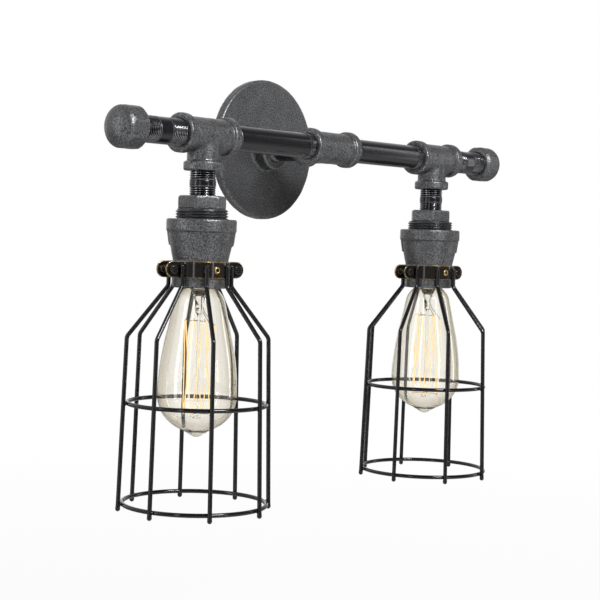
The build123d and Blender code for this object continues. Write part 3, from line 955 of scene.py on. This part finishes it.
@dataclass
class Rounded:
    """A node's own form, remade in small even cells so that its edges can be rounded off."""

    node: str
    voxel: float
    passes: int = 3
    skin: float = 0.0
    seed: int = 1
    label: str = "rounded"
    wear: float = 1.0
    worn_at: float = 0.22
    fine: float = 2.4 * MM
    coarse: float = 11 * MM
    coarse_share: float = 1.6
    limit: float = 0.12 * MM

    def shaped(self, points: np.ndarray, centre: np.ndarray) -> np.ndarray:
        """Change of form before the rounding; none here."""
        return points

    def remade(self, frame: Frame) -> bpy.types.Mesh:
        """Even mesh of the node's form, in millimetres.

        Args:
            frame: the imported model.

        Returns:
            The new mesh.
        """
        mesh = frame.nodes[self.node].data.copy()
        mesh.transform(Matrix.Scale(1 / MM, 4))
        draft = linked(f"{self.node}_draft", mesh)
        draft.modifiers.new("weld", "WELD").merge_threshold = 0.002
        remesh = draft.modifiers.new("remesh", "REMESH")
        remesh.mode = "VOXEL"
        remesh.voxel_size = self.voxel / MM
        graph = bpy.context.evaluated_depsgraph_get()
        made = bpy.data.meshes.new_from_object(draft.evaluated_get(graph))
        bpy.data.objects.remove(draft)
        bpy.data.meshes.remove(mesh)
        return made

    def build(self, frame: Frame, material: Material) -> Object:
        """Round the edges by averaging each point with its neighbours, then roughen the skin.

        Each pass moves a point p to 0.5 p + 0.5 (mean of its neighbours). How far the passes
        move it inwards is stored as bare, from 0 on flat faces to 1 at edges that stand out.
        The skin then moves it along its normal by a few hundredths of a millimetre.

        Args:
            frame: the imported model.
            material: the finish.

        Returns:
            The new piece.
        """
        mesh = self.remade(frame)
        count = len(mesh.vertices)
        low, high = frame.corners(self.node)
        start = self.shaped(read(mesh, "co") * MM, (low + high) / 2)
        points = start.astype(float)
        edges = np.empty(len(mesh.edges) * 2, np.int32)
        mesh.edges.foreach_get("vertices", edges)
        first, second = edges.reshape(-1, 2).T
        degree = np.bincount(edges, minlength=count)[:, None]
        for _ in range(self.passes):
            total = np.stack([
                np.bincount(first, points[second, axis], count)
                + np.bincount(second, points[first, axis], count)
                for axis in range(3)
            ], axis=1)
            points = 0.5 * points + 0.5 * total / degree
        mesh.vertices.foreach_set("co", points.astype(np.float32).ravel())
        mesh.update()
        normals = read(mesh, "normal")
        worn = ((start - points) * normals).sum(axis=1) / (self.worn_at * self.voxel)
        if self.skin:
            offset = lumps(points, self.fine, self.seed)
            offset = offset + self.coarse_share * lumps(points, self.coarse, self.seed + 1)
            points += normals * np.clip(self.skin * offset, -self.limit, self.limit)[:, None]
            mesh.vertices.foreach_set("co", points.astype(np.float32).ravel())
        store(mesh, "bare", self.wear * np.clip(worn, 0, 1))
        mesh.materials.clear()
        mesh.materials.append(material)
        mesh.shade_smooth()
        mesh.update()
        thing = linked(f"{self.node}_{self.label}", mesh)
        frame.settle(thing, self.node)
        return thing


@dataclass
class BellReducer(Rounded):
    """Bell reducer, whose body narrows in one gentle curve from the collar to the foot."""

    collar_foot: float = -77.0 * MM
    shoulder: float = 11.0 * MM
    length: float = 22.4 * MM
    drop: float = 4.05 * MM
    belly: float = 1.51 * MM
    outside: float = 21.8 * MM

    def shaped(self, points: np.ndarray, centre: np.ndarray) -> np.ndarray:
        """Draw the body's outside in, from a straight run and a cone to a curve.

        With s from 0 at the collar to 1 at the foot, the radius falls by (drop - belly) s
        + belly s^2 instead of staying level over the shoulder and then falling evenly by drop.

        Args:
            points: the form's points.
            centre: middle of the piece, on its axis.

        Returns:
            The changed points.
        """
        across = points[:, :2] - centre[:2]
        radius = np.hypot(across[:, 0], across[:, 1])
        share = (self.collar_foot - points[:, 2]) / self.length
        level = self.shoulder / self.length
        before = self.drop * np.clip((share - level) / (1 - level), 0, 1)
        after = (self.drop - self.belly) * share + self.belly * share ** 2
        inwards = np.where((radius > self.outside) & (share > 0) & (share < 1), after - before, 0.0)
        moved = points.copy()
        moved[:, :2] = centre[:2] + across * (1 - inwards / np.maximum(radius, self.outside))[:, None]
        return moved


@dataclass
class HexBushing:
    """Hex bushing: a cast six-sided head over a cut helical thread, bored out below."""

    node: str
    turn: float
    head_top: float = -48.4 * MM
    thread_top: float = -58.7 * MM
    foot: float = -78.7 * MM
    flats: float = 34.4 * MM
    thread_radius: float = 21.05 * MM
    depth: float = 1.35 * MM
    pitch: float = 2.21 * MM
    mouth: float = 10.7 * MM
    bore: float = 8.7 * MM
    cup: float = 15.0 * MM
    cup_top: float = -64.7 * MM
    columns: int = 180
    rows_per_turn: int = 10
    run_out: float = 0.3 * MM
    run_out_length: float = 1.2 * MM
    lead: float = 2.0 * MM
    rise: tuple[float, ...] = (0.0, 0.25, 0.6, 1.2, 4.0, 7.6, 8.6, 9.2, 9.7, 10.05, 10.25, 10.3)
    ease: tuple[float, ...] = (0.55, 0.22, 0.05, 0.0, 0.0, 0.0, 0.0, 0.06, 0.24, 0.5, 0.9, 1.3)
    corner_ease: float = 0.35 * MM
    corner_slope: float = 1.15
    corner_level: float = 8.9 * MM

    def surface(self) -> Surface:
        """Outline up the thread and the head, and back down the mouth, the bore and the cup.

        The head's radius at angle a is half the flats over cos(a from the nearest flat's middle),
        eased at its two edges. The thread's is R - depth (1 - w), where w rises and falls once in
        each turn of the helix and ends in a run-out under the head. The head is drawn in by ease
        at each height of rise, in millimetres, and its corners slope in over corner_level.

        Returns:
            The closed surface on the lamp's axis, with bare and cut stored on it.
        """
        angle = around(self.columns) + math.radians(self.turn)
        end_level = self.thread_top - self.run_out
        height = np.arange(self.foot, end_level, self.pitch / self.rows_per_turn)[:, None]
        crest = np.clip((helix(height, angle, self.pitch) - 0.14) / 0.62, 0, 1)
        end = np.clip((end_level - height) / self.run_out_length, 0, 1)
        lead = np.clip((height - self.foot) / self.lead, 0, 1)
        thread = self.thread_radius - self.depth * (1 - crest * end * lead)
        from_flat = (angle - math.radians(self.turn)) % (np.pi / 3) - np.pi / 6
        six = self.flats / 2 / np.cos(from_flat)
        corner = self.flats / 2 / math.cos(np.pi / 6)
        rise, ease = np.array(self.rise) * MM, np.array(self.ease) * MM
        slope = self.corner_slope * np.clip(rise - self.corner_level, 0, 1)
        limit = corner - self.corner_ease - slope
        head = np.minimum(six - ease[:, None], limit[:, None])
        inside = np.array([
            (self.mouth + 0.9 * MM, self.head_top), (self.mouth, self.head_top - 0.9 * MM),
            (self.mouth, self.head_top - 10.0 * MM), (self.bore, self.head_top - 10.4 * MM),
            (self.bore, self.cup_top), (self.cup, self.cup_top), (self.cup, self.foot),
        ])
        radii = [thread, head, np.repeat(inside[:, :1], self.columns, axis=1)]
        levels = [height, self.thread_top + rise[:, None], inside[:, 1:]]
        bare = [0.25 * crest * end, np.repeat((ease > 0)[:, None] * 0.5, self.columns, axis=1),
                np.zeros((len(inside), self.columns))]
        cut = [np.ones_like(thread), np.zeros_like(head), np.zeros((len(inside), self.columns))]
        return turned(np.concatenate(radii), np.concatenate(levels), angle, closed=True,
                      bare=np.concatenate(bare), cut=np.concatenate(cut))

    def build(self, frame: Frame, material: Material) -> None:
        """Put the bushing on its lamp's axis.

        Args:
            frame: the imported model.
            material: the casting's finish.
        """
        surface = self.surface().moved(np.eye(3), frame.axis(self.node))
        frame.settle(piece(f"{self.node}_cut", surface, material, 50.0), self.node)


# ---- sub-assemblies -------------------------------------------------------------------------------


@dataclass(frozen=True)
class Finishes:
    """Every finish of the light, made once."""

    iron: Material
    pipe: Material
    enamel: Material
    zinc: Material
    green: Material
    steel: Material
    brass: Material
    phenolic: Material
    insulation: Material
    black_glass: Material
    bulb_glass: Material
    clear_glass: Material
    filament: Material
    support: Material

    @classmethod
    def made(cls) -> "Finishes":
        """Build all materials."""
        return cls(
            iron=CastIron().material(),
            pipe=BlackPipe().material(),
            enamel=Enamel().material(),
            zinc=BareMetal("dull_zinc", (0.5, 0.5, 0.51), (0.33, 0.33, 0.35), 0.4).material(),
            green=Moulding("green_paint", (0.03, 0.24, 0.08), (0.05, 0.3, 0.12), 0.3).material(),
            steel=BareMetal("plain_steel", (0.5, 0.5, 0.5), (0.3, 0.29, 0.28)).material(),
            brass=BareMetal("plain_brass", (0.72, 0.52, 0.23), (0.5, 0.34, 0.14), 0.28).material(),
            phenolic=Moulding("black_phenolic", (0.015, 0.015, 0.016), (0.04, 0.036, 0.032)).material(),
            insulation=Moulding(
                "lead_insulation", (0.03, 0.03, 0.033), (0.06, 0.06, 0.064), 0.55).material(),
            black_glass=Moulding(
                "black_vitrite", (0.012, 0.012, 0.016), (0.03, 0.03, 0.036), 0.14).material(),
            bulb_glass=BlownGlass(
                "tinted_bulb_glass", (0.96, 0.945, 0.9), (0.5, 0.44, 0.32)).material(),
            clear_glass=BlownGlass(
                "clear_mount_glass", (0.96, 0.96, 0.94), (0.75, 0.75, 0.72), 1.5).material(),
            filament=PaintedGlowWire().material(),
            support=BareMetal("dull_wire", (0.42, 0.38, 0.32), (0.25, 0.22, 0.19), 0.4).material(),
        )


@dataclass
class PipeBar:
    """Wall plate, stand-off pipe, centre tee and the two bar pipes."""

    frame: Frame
    finishes: Finishes
    plate_voxel: float = 0.7 * MM
    tee_voxel: float = 0.52 * MM
    screw_voxel: float = 0.28 * MM
    bar_thread: float = 14.6 * MM
    standoff_thread: float = 15.0 * MM
    skin: float = 0.06 * MM

    def build(self) -> None:
        """Build the pieces that stay on the wall."""
        iron, pipe = self.finishes.iron, self.finishes.pipe
        Rounded("wall_plate", self.plate_voxel, 3, self.skin, 3, "casting").build(self.frame, iron)
        Rounded("centre_tee", self.tee_voxel, 2, self.skin, 5, "casting").build(self.frame, iron)
        Rounded("plate_screws", self.screw_voxel, 2).build(self.frame, self.finishes.zinc)
        Rounded("ground_screw", self.screw_voxel, 2).build(self.frame, self.finishes.green)
        Nipple("standoff_nipple", Way.TO_ROOM, self.standoff_thread).build(self.frame, pipe)
        for side in Side:
            Nipple(side.node("bar_pipe"), Way.ALONG_BAR, self.bar_thread).build(self.frame, pipe)
        self.frame.dress("bar_leads", self.finishes.insulation)


@dataclass
class LampHead:
    """Side tee with its end pipe and cap, and all that hangs from it down to the lamp holder."""

    side: Side
    frame: Frame
    finishes: Finishes
    tee_voxel: float = 0.52 * MM
    cap_voxel: float = 0.5 * MM
    reducer_voxel: float = 0.52 * MM
    left_turn: float = 29.0
    right_turn: float = 41.0
    end_thread: float = 23.6 * MM
    cap_thread: float = 27.0 * MM
    drop_thread: float = 16.6 * MM
    skin: float = 0.06 * MM

    def build(self) -> None:
        """Build the castings and pipes, and dress what is hidden inside."""
        iron, pipe, frame = self.finishes.iron, self.finishes.pipe, self.frame
        seed = 11 if self.side is Side.LEFT else 31
        castings = (
            (Rounded, "tee", self.tee_voxel), (Rounded, "end_cap", self.cap_voxel),
            (BellReducer, "bell_reducer", self.reducer_voxel),
        )
        for step, (kind, name, voxel) in enumerate(castings):
            node = self.side.node(name)
            kind(node, voxel, 2, self.skin, seed + 2 * step, "casting").build(frame, iron)
        turn = self.left_turn if self.side is Side.LEFT else self.right_turn
        HexBushing(self.side.node("hex_bushing"), turn).build(frame, iron)
        inward = Way.ALONG_BAR if self.side is Side.LEFT else Way.AGAINST_BAR
        Nipple(self.side.node("end_nipple"), inward, self.cap_thread, self.end_thread).build(frame, pipe)
        Nipple(self.side.node("drop_nipple"), Way.UP, self.drop_thread).build(frame, pipe)
        hidden = {
            "holder_hanger": self.finishes.steel, "holder_stem": self.finishes.steel,
            "stem_nuts": self.finishes.steel, "lamp_holder": self.finishes.phenolic,
            "holder_shell": self.finishes.brass, "holder_contact": self.finishes.brass,
            "lamp_leads": self.finishes.insulation,
        }
        for name, material in hidden.items():
            frame.dress(self.side.node(name), material)


@dataclass
class Bulb:
    """Drop-shaped bulb: blown glass with a drawn tip, glass mount, filament and its wires."""

    side: Side
    frame: Frame
    finishes: Finishes
    neck_top: float = -113.4 * MM
    neck_foot: float = -121.4 * MM
    neck: float = 11.7 * MM
    shoulder: complex = (20.6 - 133.0j) * MM
    flank: complex = (27.4 - 164.6j) * MM
    belly: complex = (32.0 - 207.2j) * MM
    crown: float = 30.0 * MM
    tip: float = -240.8 * MM
    wall: float = 0.9 * MM
    pinch: float = -140.4 * MM
    rod: float = 1.5 * MM
    rod_end: float = -226.4 * MM
    ring: float = 12.5 * MM
    legs: int = 8
    leg_top: float = -152.0 * MM
    leg_foot: float = -218.0 * MM
    turn_width: float = 1.6 * MM
    filament_radius: float = 0.42 * MM
    support_radius: float = 0.3 * MM
    hook_size: float = 0.75 * MM
    columns: int = 128
    steps: int = 22
    tip_start: float = 13.0 * MM
    tip_knots: tuple[tuple[float, float], ...] = (
        (0.0, 0.0), (1.9, 0.18), (3.3, 0.65), (4.4, 1.25), (6.3, 2.45), (8.4, 3.75), (10.8, 5.2),
    )
    inner_start: float = 12.0 * MM
    inner_knots: tuple[tuple[float, float], ...] = (
        (0.0, 1.5), (2.1, 1.8), (3.9, 2.55), (6.0, 3.85), (8.6, 5.35),
    )

    def outline(self, inset: float) -> np.ndarray:
        """Glass outline from the belly to the neck, inset by a wall, then the round end's arcs.

        Args:
            inset: distance inside the outer face.

        Returns:
            Points from the axis at the round end up to the neck, as radius + i height.
        """
        belly = self.belly - inset
        flank, shoulder = self.flank - inset, self.shoulder - inset
        slant = math.sqrt(0.5)
        haunch = complex(belly.real, 0) * slant + 1j * (belly.imag - (self.crown - inset) * slant)
        end = 1j * (belly.imag - self.crown + inset)
        round_end, _ = arc(end, 1 + 0j, haunch, self.steps)
        side, _ = arc(belly, -1j, haunch, self.steps // 2)
        upper, heading = arc(belly, 1j, flank, self.steps)
        middle, heading = arc(flank, heading, shoulder, self.steps)
        throat, _ = arc(shoulder, heading, self.neck - inset + 1j * self.neck_foot, self.steps)
        line = np.concatenate([round_end, side[::-1][1:], upper[1:], middle[1:], throat[1:]])
        return np.append(line, self.neck - inset + 1j * self.neck_top)

    def glass(self) -> Surface:
        """Outer face with a drawn tip, over the top of the neck, and back down the inner face."""
        outer = self.drawn(self.outline(0.0), self.tip_start, self.tip_knots)
        inner = self.drawn(self.outline(self.wall), self.inner_start, self.inner_knots)
        line = np.concatenate([outer, inner[::-1]])
        return turned(line.real, line.imag, around(self.columns))

    def drawn(self, outline: np.ndarray, start: float,
              tip: tuple[tuple[float, float], ...]) -> np.ndarray:
        """Outline whose round end runs out smoothly into a drawn tip.

        Args:
            outline: points from the axis up to the neck, as radius + i height.
            start: radius at which the round end leaves its own shape.
            tip: radius, and height over the tip's end, of points of the tip, in millimetres.

        Returns:
            The new points.
        """
        base = outline[int(np.argmax(outline.real > start)):]
        knots = [(radius * MM, self.tip + rise * MM) for radius, rise in tip]
        knots += [(point.real, point.imag) for point in base[:3:2]]
        line = smooth_line(knots, 8)[: 8 * len(tip)]
        return np.concatenate([line[:, 0] + 1j * line[:, 1], base])

    def mount(self) -> Surface:
        """Flare, flattened pinch and long rod with a button: radius r (1 + w cos 2a), w at the pinch."""
        line = smooth_line([
            (0.0, self.rod_end), (2.0 * self.rod, self.rod_end + 0.3 * MM),
            (2.1 * self.rod, self.rod_end + 1.4 * MM), (self.rod, self.rod_end + 3.0 * MM),
            (self.rod, self.rod_end + 12 * MM), (self.rod, self.pinch - 14 * MM),
            (1.05 * self.rod, self.pinch - 4 * MM), (2.9 * MM, self.pinch - 0.5 * MM),
            (3.1 * MM, self.pinch + 4 * MM), (4.3 * MM, self.pinch + 10 * MM),
            (6.2 * MM, self.pinch + 15 * MM), (10.2 * MM, self.neck_foot + 2.6 * MM),
            (0.0, self.neck_foot + 3.0 * MM),
        ], 8)
        flat = 0.3 * np.exp(-(((line[:, 1] - self.pinch - 3 * MM) / (5 * MM)) ** 2))
        angle = around(64)
        radius = line[:, :1] * (1 + flat[:, None] * np.cos(2 * angle))
        return turned(radius, line[:, 1:], angle)

    def leg(self, index: int) -> np.ndarray:
        """Place of a leg on the ring, seen from above."""
        angle = 2 * math.pi * index / self.legs
        return self.ring * np.array([math.cos(angle), math.sin(angle), 0.0])

    def filament(self) -> Surface:
        """One wire down and up round the ring, with a narrow turn at each hook."""
        up = np.array([0.0, 0.0, 1.0])
        corners = [self.leg(0) + up * self.leg_top]
        for index in range(self.legs - 1):
            here, after = self.leg(index), self.leg(index + 1)
            half = (after - here) / 2
            size = float(np.linalg.norm(half))
            level = self.leg_foot - size if index % 2 == 0 else self.leg_top + size
            hook, narrow = (here + after) / 2 + up * level, half / size * self.turn_width / 2
            corners += [hook - narrow, hook + narrow]
        corners.append(self.leg(self.legs - 1) + up * self.leg_top)
        path = bent([tuple(corner) for corner in corners], 0.45 * self.turn_width, 0.15 * MM)
        return wire(path, self.filament_radius, 10, 3)

    def supports(self) -> Surface:
        """Two lead-in wires from the pinch, and a hook from the rod round each turn."""
        up = np.array([0.0, 0.0, 1.0])
        half = float(np.linalg.norm(self.leg(1) - self.leg(0))) / 2
        parts = []
        for index in (0, self.legs - 1):
            out = self.leg(index) / self.ring
            path = np.array([
                out * 3.0 * MM + up * (self.pinch + 3.0 * MM),
                out * 4.4 * MM + up * (self.pinch - 1.0 * MM),
                out * (self.ring - 0.8 * MM) + up * (self.leg_top + 1.8 * MM),
                out * self.ring + up * (self.leg_top + 0.2 * MM),
            ])
            share = np.linspace(0, 1, 30)
            spots = np.linspace(0, 1, len(path))
            smooth = np.stack([np.interp(share, spots, path[:, axis]) for axis in range(3)], axis=1)
            parts.append(wire(smooth, self.support_radius, 8, 3))
        for index in range(self.legs - 1):
            middle = (self.leg(index) + self.leg(index + 1)) / 2
            out = middle / np.linalg.norm(middle)
            low = index % 2 == 0
            level = up * (self.leg_foot - half if low else self.leg_top + half)
            away = -up if low else up
            reach = float(np.linalg.norm(middle))
            curl = np.linspace(0, 1.25 * np.pi, 12)[:, None]
            size = self.hook_size
            hook = level + out * (reach + size * np.sin(curl))
            hook = hook + away * size * (1 - np.cos(curl)) - away * size
            stem = level - away * size + out * np.linspace(self.rod, reach, 6)[:, None]
            parts.append(wire(np.concatenate([stem[:-1], hook]), self.support_radius, 8, 3))
        return Surface.joined(parts)

    def build(self) -> None:
        """Build the glass and what it holds, and dress the base inside the holder."""
        surfaces = (
            ("bulb_glass", "blown", self.glass(), self.finishes.bulb_glass),
            ("bulb_mount", "drawn", self.mount(), self.finishes.clear_glass),
            ("bulb_filament", "wound", self.filament(), self.finishes.filament),
            ("bulb_supports", "hooks", self.supports(), self.finishes.support),
        )
        centre, level = self.frame.axis(self.side.node("bulb_glass")), np.eye(3)
        for name, label, surface, material in surfaces:
            node = self.side.node(name)
            thing = piece(f"{node}_{label}", surface.moved(level, centre), material, 80.0)
            self.frame.settle(thing, node)
        self.frame.dress(self.side.node("bulb_base"), self.finishes.brass)
        self.frame.dress(self.side.node("bulb_insulator"), self.finishes.black_glass)


@dataclass
class Cage:
    """Clamp in two halves, its screws and nuts, and the bent wires and rings of the cage."""

    side: Side
    frame: Frame
    finishes: Finishes
    clamp_turn: float = math.radians(-11.0)
    wire_count: int = 8
    wire_radius: float = 1.75 * MM
    bead: float = 1.97 * MM
    top_ring: float = 25.5 * MM
    wire_top: float = -104.4 * MM
    bend_level: float = -120.1 * MM
    shoulder: float = 57.6 * MM
    shoulder_level: float = -161.1 * MM
    mouth: float = 61.3 * MM
    mouth_level: float = -294.1 * MM
    middle_level: float = -214.1 * MM
    wire_end: float = -297.9 * MM
    bend: float = 6.0 * MM
    ring_inset: float = 3.55 * MM
    clamp_face: float = 23.7 * MM
    clamp_middle: float = -107.0 * MM
    eyelet: float = 2.7 * MM
    eyelet_wear: float = 3.0
    clamp_voxel: float = 0.4 * MM
    screw_voxel: float = 0.27 * MM

    def axis(self) -> np.ndarray:
        """Point on the lamp's axis at the level of the bar."""
        return self.frame.axis(self.side.node("cage_rings"))

    def reach(self, level: float) -> float:
        """Distance of a wire's middle from the axis below the shoulder, on a straight line."""
        share = (self.shoulder_level - level) / (self.shoulder_level - self.mouth_level)
        return self.shoulder + share * (self.mouth - self.shoulder)

    def around_axis(self, index: int) -> np.ndarray:
        """Turn about the axis that takes a shape on +X to one of the wires."""
        angle = self.clamp_turn + 2 * math.pi * (index + 0.5) / self.wire_count
        c, s = math.cos(angle), math.sin(angle)
        return np.array([[c, -s, 0.0], [s, c, 0.0], [0.0, 0.0, 1.0]])

    def blob(self, centre: Vector3, half: Vector3) -> Surface:
        """Drop of weld: an ellipsoid with half-axes (a, b, c), (a cos u cos v, b cos u sin v, c sin u)."""
        latitude = np.linspace(-np.pi / 2, np.pi / 2, 11)
        ball = turned(np.abs(np.cos(latitude)), np.sin(latitude), around(16))
        return Surface(ball.points * np.array(half) + np.array(centre), ball.faces)

    def wires(self) -> Surface:
        """Bent wires, each thickening to a bead of paint at its end, with its weld on the clamp."""
        path = bent([
            (self.top_ring, 0.0, self.wire_top), (self.top_ring, 0.0, self.bend_level),
            (self.shoulder, 0.0, self.shoulder_level), (self.reach(self.wire_end), 0.0, self.wire_end),
        ], self.bend, 0.5 * MM)
        tail = path[-2] + (path[-1] - path[-2]) * np.linspace(0, 1, 60)[:, None]
        path = np.concatenate([path[:-2], tail])
        height = path[:, 2] - self.wire_end
        radius = self.wire_radius + (self.bead - self.wire_radius) * np.exp(-((height / (2.2 * MM)) ** 2))
        weld = self.blob((self.clamp_face + 0.4 * MM, 0.0, self.clamp_middle - 1.0 * MM),
                         (0.8 * MM, 1.9 * MM, 4.6 * MM))
        shape = Surface.joined([wire(path, radius, 24), weld])
        centre = self.axis()
        return Surface.joined([shape.moved(self.around_axis(i), centre) for i in range(self.wire_count)])

    def rings(self) -> Surface:
        """Two rings, circles carried round the axis, with a drop of weld at each wire."""
        across = around(24)
        parts = []
        for level in (self.middle_level, self.mouth_level):
            radius = self.reach(level) - self.ring_inset
            parts.append(turned(radius + self.wire_radius * np.cos(across),
                                level + self.wire_radius * np.sin(across), around(220), closed=True))
            weld = self.blob((radius + self.ring_inset / 2, 0.0, level), (1.3 * MM, 1.9 * MM, 1.9 * MM))
            parts += [weld.moved(self.around_axis(i), np.zeros(3)) for i in range(self.wire_count)]
        return Surface.joined(parts).moved(np.eye(3), self.axis())

    def clamp(self, half: str) -> None:
        """Build one half of the clamp, with bare brass on its edges and its eyelet.

        Args:
            half: front or back.
        """
        node = self.side.node(f"clamp_{half}")
        thing = Rounded(node, self.clamp_voxel, 3).build(self.frame, self.finishes.enamel)
        mesh = thing.data
        place = read(mesh, "co") - self.axis() - np.array([0, 0, self.clamp_middle])
        outward = self.clamp_turn + (-np.pi / 2 if half == "front" else np.pi / 2)
        across = place @ np.array([-math.sin(outward), math.cos(outward), 0.0])
        ahead = place @ np.array([math.cos(outward), math.sin(outward), 0.0])
        near = (np.hypot(across, place[:, 2]) < self.eyelet) & (ahead > self.clamp_face + 0.15 * MM)
        bare = np.empty(len(mesh.vertices), np.float32)
        mesh.attributes["bare"].data.foreach_get("value", bare)
        store(mesh, "bare", np.where(near, self.eyelet_wear, bare))

    def build(self) -> None:
        """Build the clamp, its screws, the wires and the rings."""
        enamel = self.finishes.enamel
        self.clamp("front")
        self.clamp("back")
        for name in ("outer_screw", "inner_screw", "clamp_nuts"):
            Rounded(self.side.node(name), self.screw_voxel, 2, wear=0.15).build(self.frame, enamel)
        surfaces = (("cage_wires", "bent", self.wires()), ("cage_rings", "welded", self.rings()))
        for name, label, surface in surfaces:
            node = self.side.node(name)
            self.frame.settle(piece(f"{node}_{label}", surface, enamel, 80.0), node)


# ---- studio ----


@dataclass(frozen=True)
class Softbox:
    """Large soft lamp, placed by its direction from the light fitting."""

    name: str
    azimuth: float
    elevation: float
    distance: float
    width: float
    height: float
    power: float

    def build(self, target: np.ndarray) -> None:
        """Make the lamp and turn it to the target.

        Args:
            target: the point that it faces.
        """
        lamp = bpy.data.lights.new(self.name, "AREA")
        lamp.shape = "RECTANGLE"
        lamp.size, lamp.size_y, lamp.energy = self.width, self.height, self.power
        thing = linked(self.name, lamp)
        turn = Direction(self.azimuth, self.elevation)
        thing.matrix_world = turn.matrix(target + turn.back() * self.distance)


@dataclass(frozen=True)
class Direction:
    """Direction of view, as the azimuth, elevation and roll of what looks along it, in degrees."""

    azimuth: float
    elevation: float
    roll: float = 0.0

    def back(self) -> np.ndarray:
        """Unit vector (sin a cos e, -cos a cos e, sin e) from the target to the viewer."""
        a, e = math.radians(self.azimuth), math.radians(self.elevation)
        return np.array([math.sin(a) * math.cos(e), -math.cos(a) * math.cos(e), math.sin(e)])

    def matrix(self, place: np.ndarray) -> Matrix:
        """Place and attitude of a camera or lamp.

        Args:
            place: where it stands.

        Returns:
            The matrix whose columns are right, up, back and the place.
        """
        back = self.back()
        a, r = math.radians(self.azimuth), math.radians(self.roll)
        level = np.array([math.cos(a), math.sin(a), 0.0])
        rise = np.cross(back, level)
        right = level * math.cos(r) + rise * math.sin(r)
        up = rise * math.cos(r) - level * math.sin(r)
        matrix = np.eye(4)
        matrix[:3, :] = np.stack([right, up, back, place], axis=1)
        return Matrix(matrix.tolist())


@dataclass(frozen=True)
class Studio:
    """Pale floor, white surroundings, soft lamps and the camera."""

    target: Vector3 = (-0.0314, -0.0816, -0.1322)
    camera_place: Vector3 = (-0.99916, -0.92909, -0.08641)
    direction: Direction = Direction(-48.788, 2.038, 1.7)
    lens: float = 89.93
    sensor: float = 36.0
    floor_level: float = -0.62
    floor_size: float = 9.0
    floor_gloss: float = 0.06
    floor_fade: Ramp = (0.9, 2.6, 0.94, 1.0)
    wall_edge: Ramp = (-0.15, 0.5)
    ambient: float = 0.12
    room: float = 0.05
    lamps: tuple[Softbox, ...] = (
        Softbox("left_softbox", -108.0, 6.0, 1.5, 0.24, 1.5, 5.0),
        Softbox("near_softbox", -72.0, 6.0, 1.5, 0.16, 1.5, 2.8),
        Softbox("right_softbox", 0.0, 6.0, 1.5, 0.14, 1.5, 2.8),
        Softbox("far_softbox", 62.0, 10.0, 1.5, 0.2, 1.3, 2.8),
        Softbox("key_softbox", -10.0, 36.0, 1.4, 0.45, 0.3, 27.0),
    )

    def floor(self) -> None:
        """Pale floor that takes a faint shadow and fades into the white surroundings."""
        graph = Graph("pale_floor")
        place = graph.place()
        grain = graph.noise(place, 4 * MM, detail=3.0)
        shader = graph.add("ShaderNodeBsdfPrincipled", Roughness=0.7, Specular_IOR_Level=0.1)
        graph.join(graph.mix(grain, (0.86, 0.86, 0.86), (0.9, 0.9, 0.9)), shader.inputs["Base Color"])
        white = graph.add("ShaderNodeEmission", Color=(1.0, 1.0, 1.0, 1.0), Strength=1.0)
        path = graph.add("ShaderNodeLightPath")
        dimmed = graph.ramp(path.outputs["Is Glossy Ray"], 0.0, 1.0, 0.0, self.floor_gloss)
        seen = graph.most(path.outputs["Is Camera Ray"], dimmed)
        seen = graph.most(seen, path.outputs["Is Transmission Ray"])
        length = graph.add("ShaderNodeVectorMath", operation="LENGTH")
        graph.join(place, length.inputs[0])
        far = graph.ramp(length.outputs["Value"], *self.floor_fade)
        share = graph.most(seen, far, "MULTIPLY")
        graph.blended(share, shader, white, "ShaderNodeOutputMaterial")
        half = self.floor_size / 2
        side = np.linspace(-half, half, 9)
        x, y = np.meshgrid(side, side, indexing="xy")
        points = np.stack([x, y, np.full_like(x, self.floor_level)], axis=-1).reshape(-1, 3)
        faces = grid_faces(9, 9, closed_columns=False)
        piece("floor", Surface(points, faces), graph.material)

    def surroundings(self) -> None:
        """White world to the eye, and a plain soft light on the object.

        Glass lets the white through. Gloss mirrors a white wall behind the object, on +Y, that
        fades to a dim room in front of it, so that dark gloss keeps its depth.
        """
        world = bpy.data.worlds.new("white_surroundings")
        bpy.context.scene.world = world
        world.use_nodes = True
        graph = Graph.over(world.node_tree)
        path = graph.add("ShaderNodeLightPath")
        direction = graph.add("ShaderNodeSeparateXYZ")
        graph.join(graph.add("ShaderNodeTexCoord").outputs["Generated"], direction.inputs[0])
        wall = graph.ramp(direction.outputs["Y"], *self.wall_edge, self.room, 1.0)
        mirrored = graph.most(path.outputs["Is Glossy Ray"], wall, "MULTIPLY")
        straight = graph.most(path.outputs["Is Camera Ray"], path.outputs["Is Transmission Ray"])
        share = graph.most(straight, mirrored)
        plain, white = (
            graph.add("ShaderNodeBackground", Color=(1.0, 1.0, 1.0, 1.0), Strength=strength)
            for strength in (self.ambient, 1.0)
        )
        graph.blended(share, plain, white, "ShaderNodeOutputWorld")

    def camera(self) -> None:
        """Camera at the photograph's place, without depth of field."""
        data = bpy.data.cameras.new("camera")
        data.lens, data.sensor_width = self.lens, self.sensor
        thing = linked("camera", data)
        thing.matrix_world = self.direction.matrix(np.array(self.camera_place))
        bpy.context.scene.camera = thing

    def build(self) -> None:
        """Set up the floor, the surroundings, the lamps and the camera."""
        bpy.context.scene.view_settings.view_transform = "Standard"
        self.floor()
        self.surroundings()
        for lamp in self.lamps:
            lamp.build(np.array(self.target))
        self.camera()


def main() -> None:
    """Load the frame and build every piece around it."""
    logging.basicConfig(level=logging.INFO, format="%(name)s: %(message)s")
    frame = Frame.of(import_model())
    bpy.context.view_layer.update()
    finishes = Finishes.made()
    PipeBar(frame, finishes).build()
    for side in Side:
        LampHead(side, frame, finishes).build()
        Bulb(side, frame, finishes).build()
        Cage(side, frame, finishes).build()
    Studio().build()


if __name__ == "__main__":
    main()
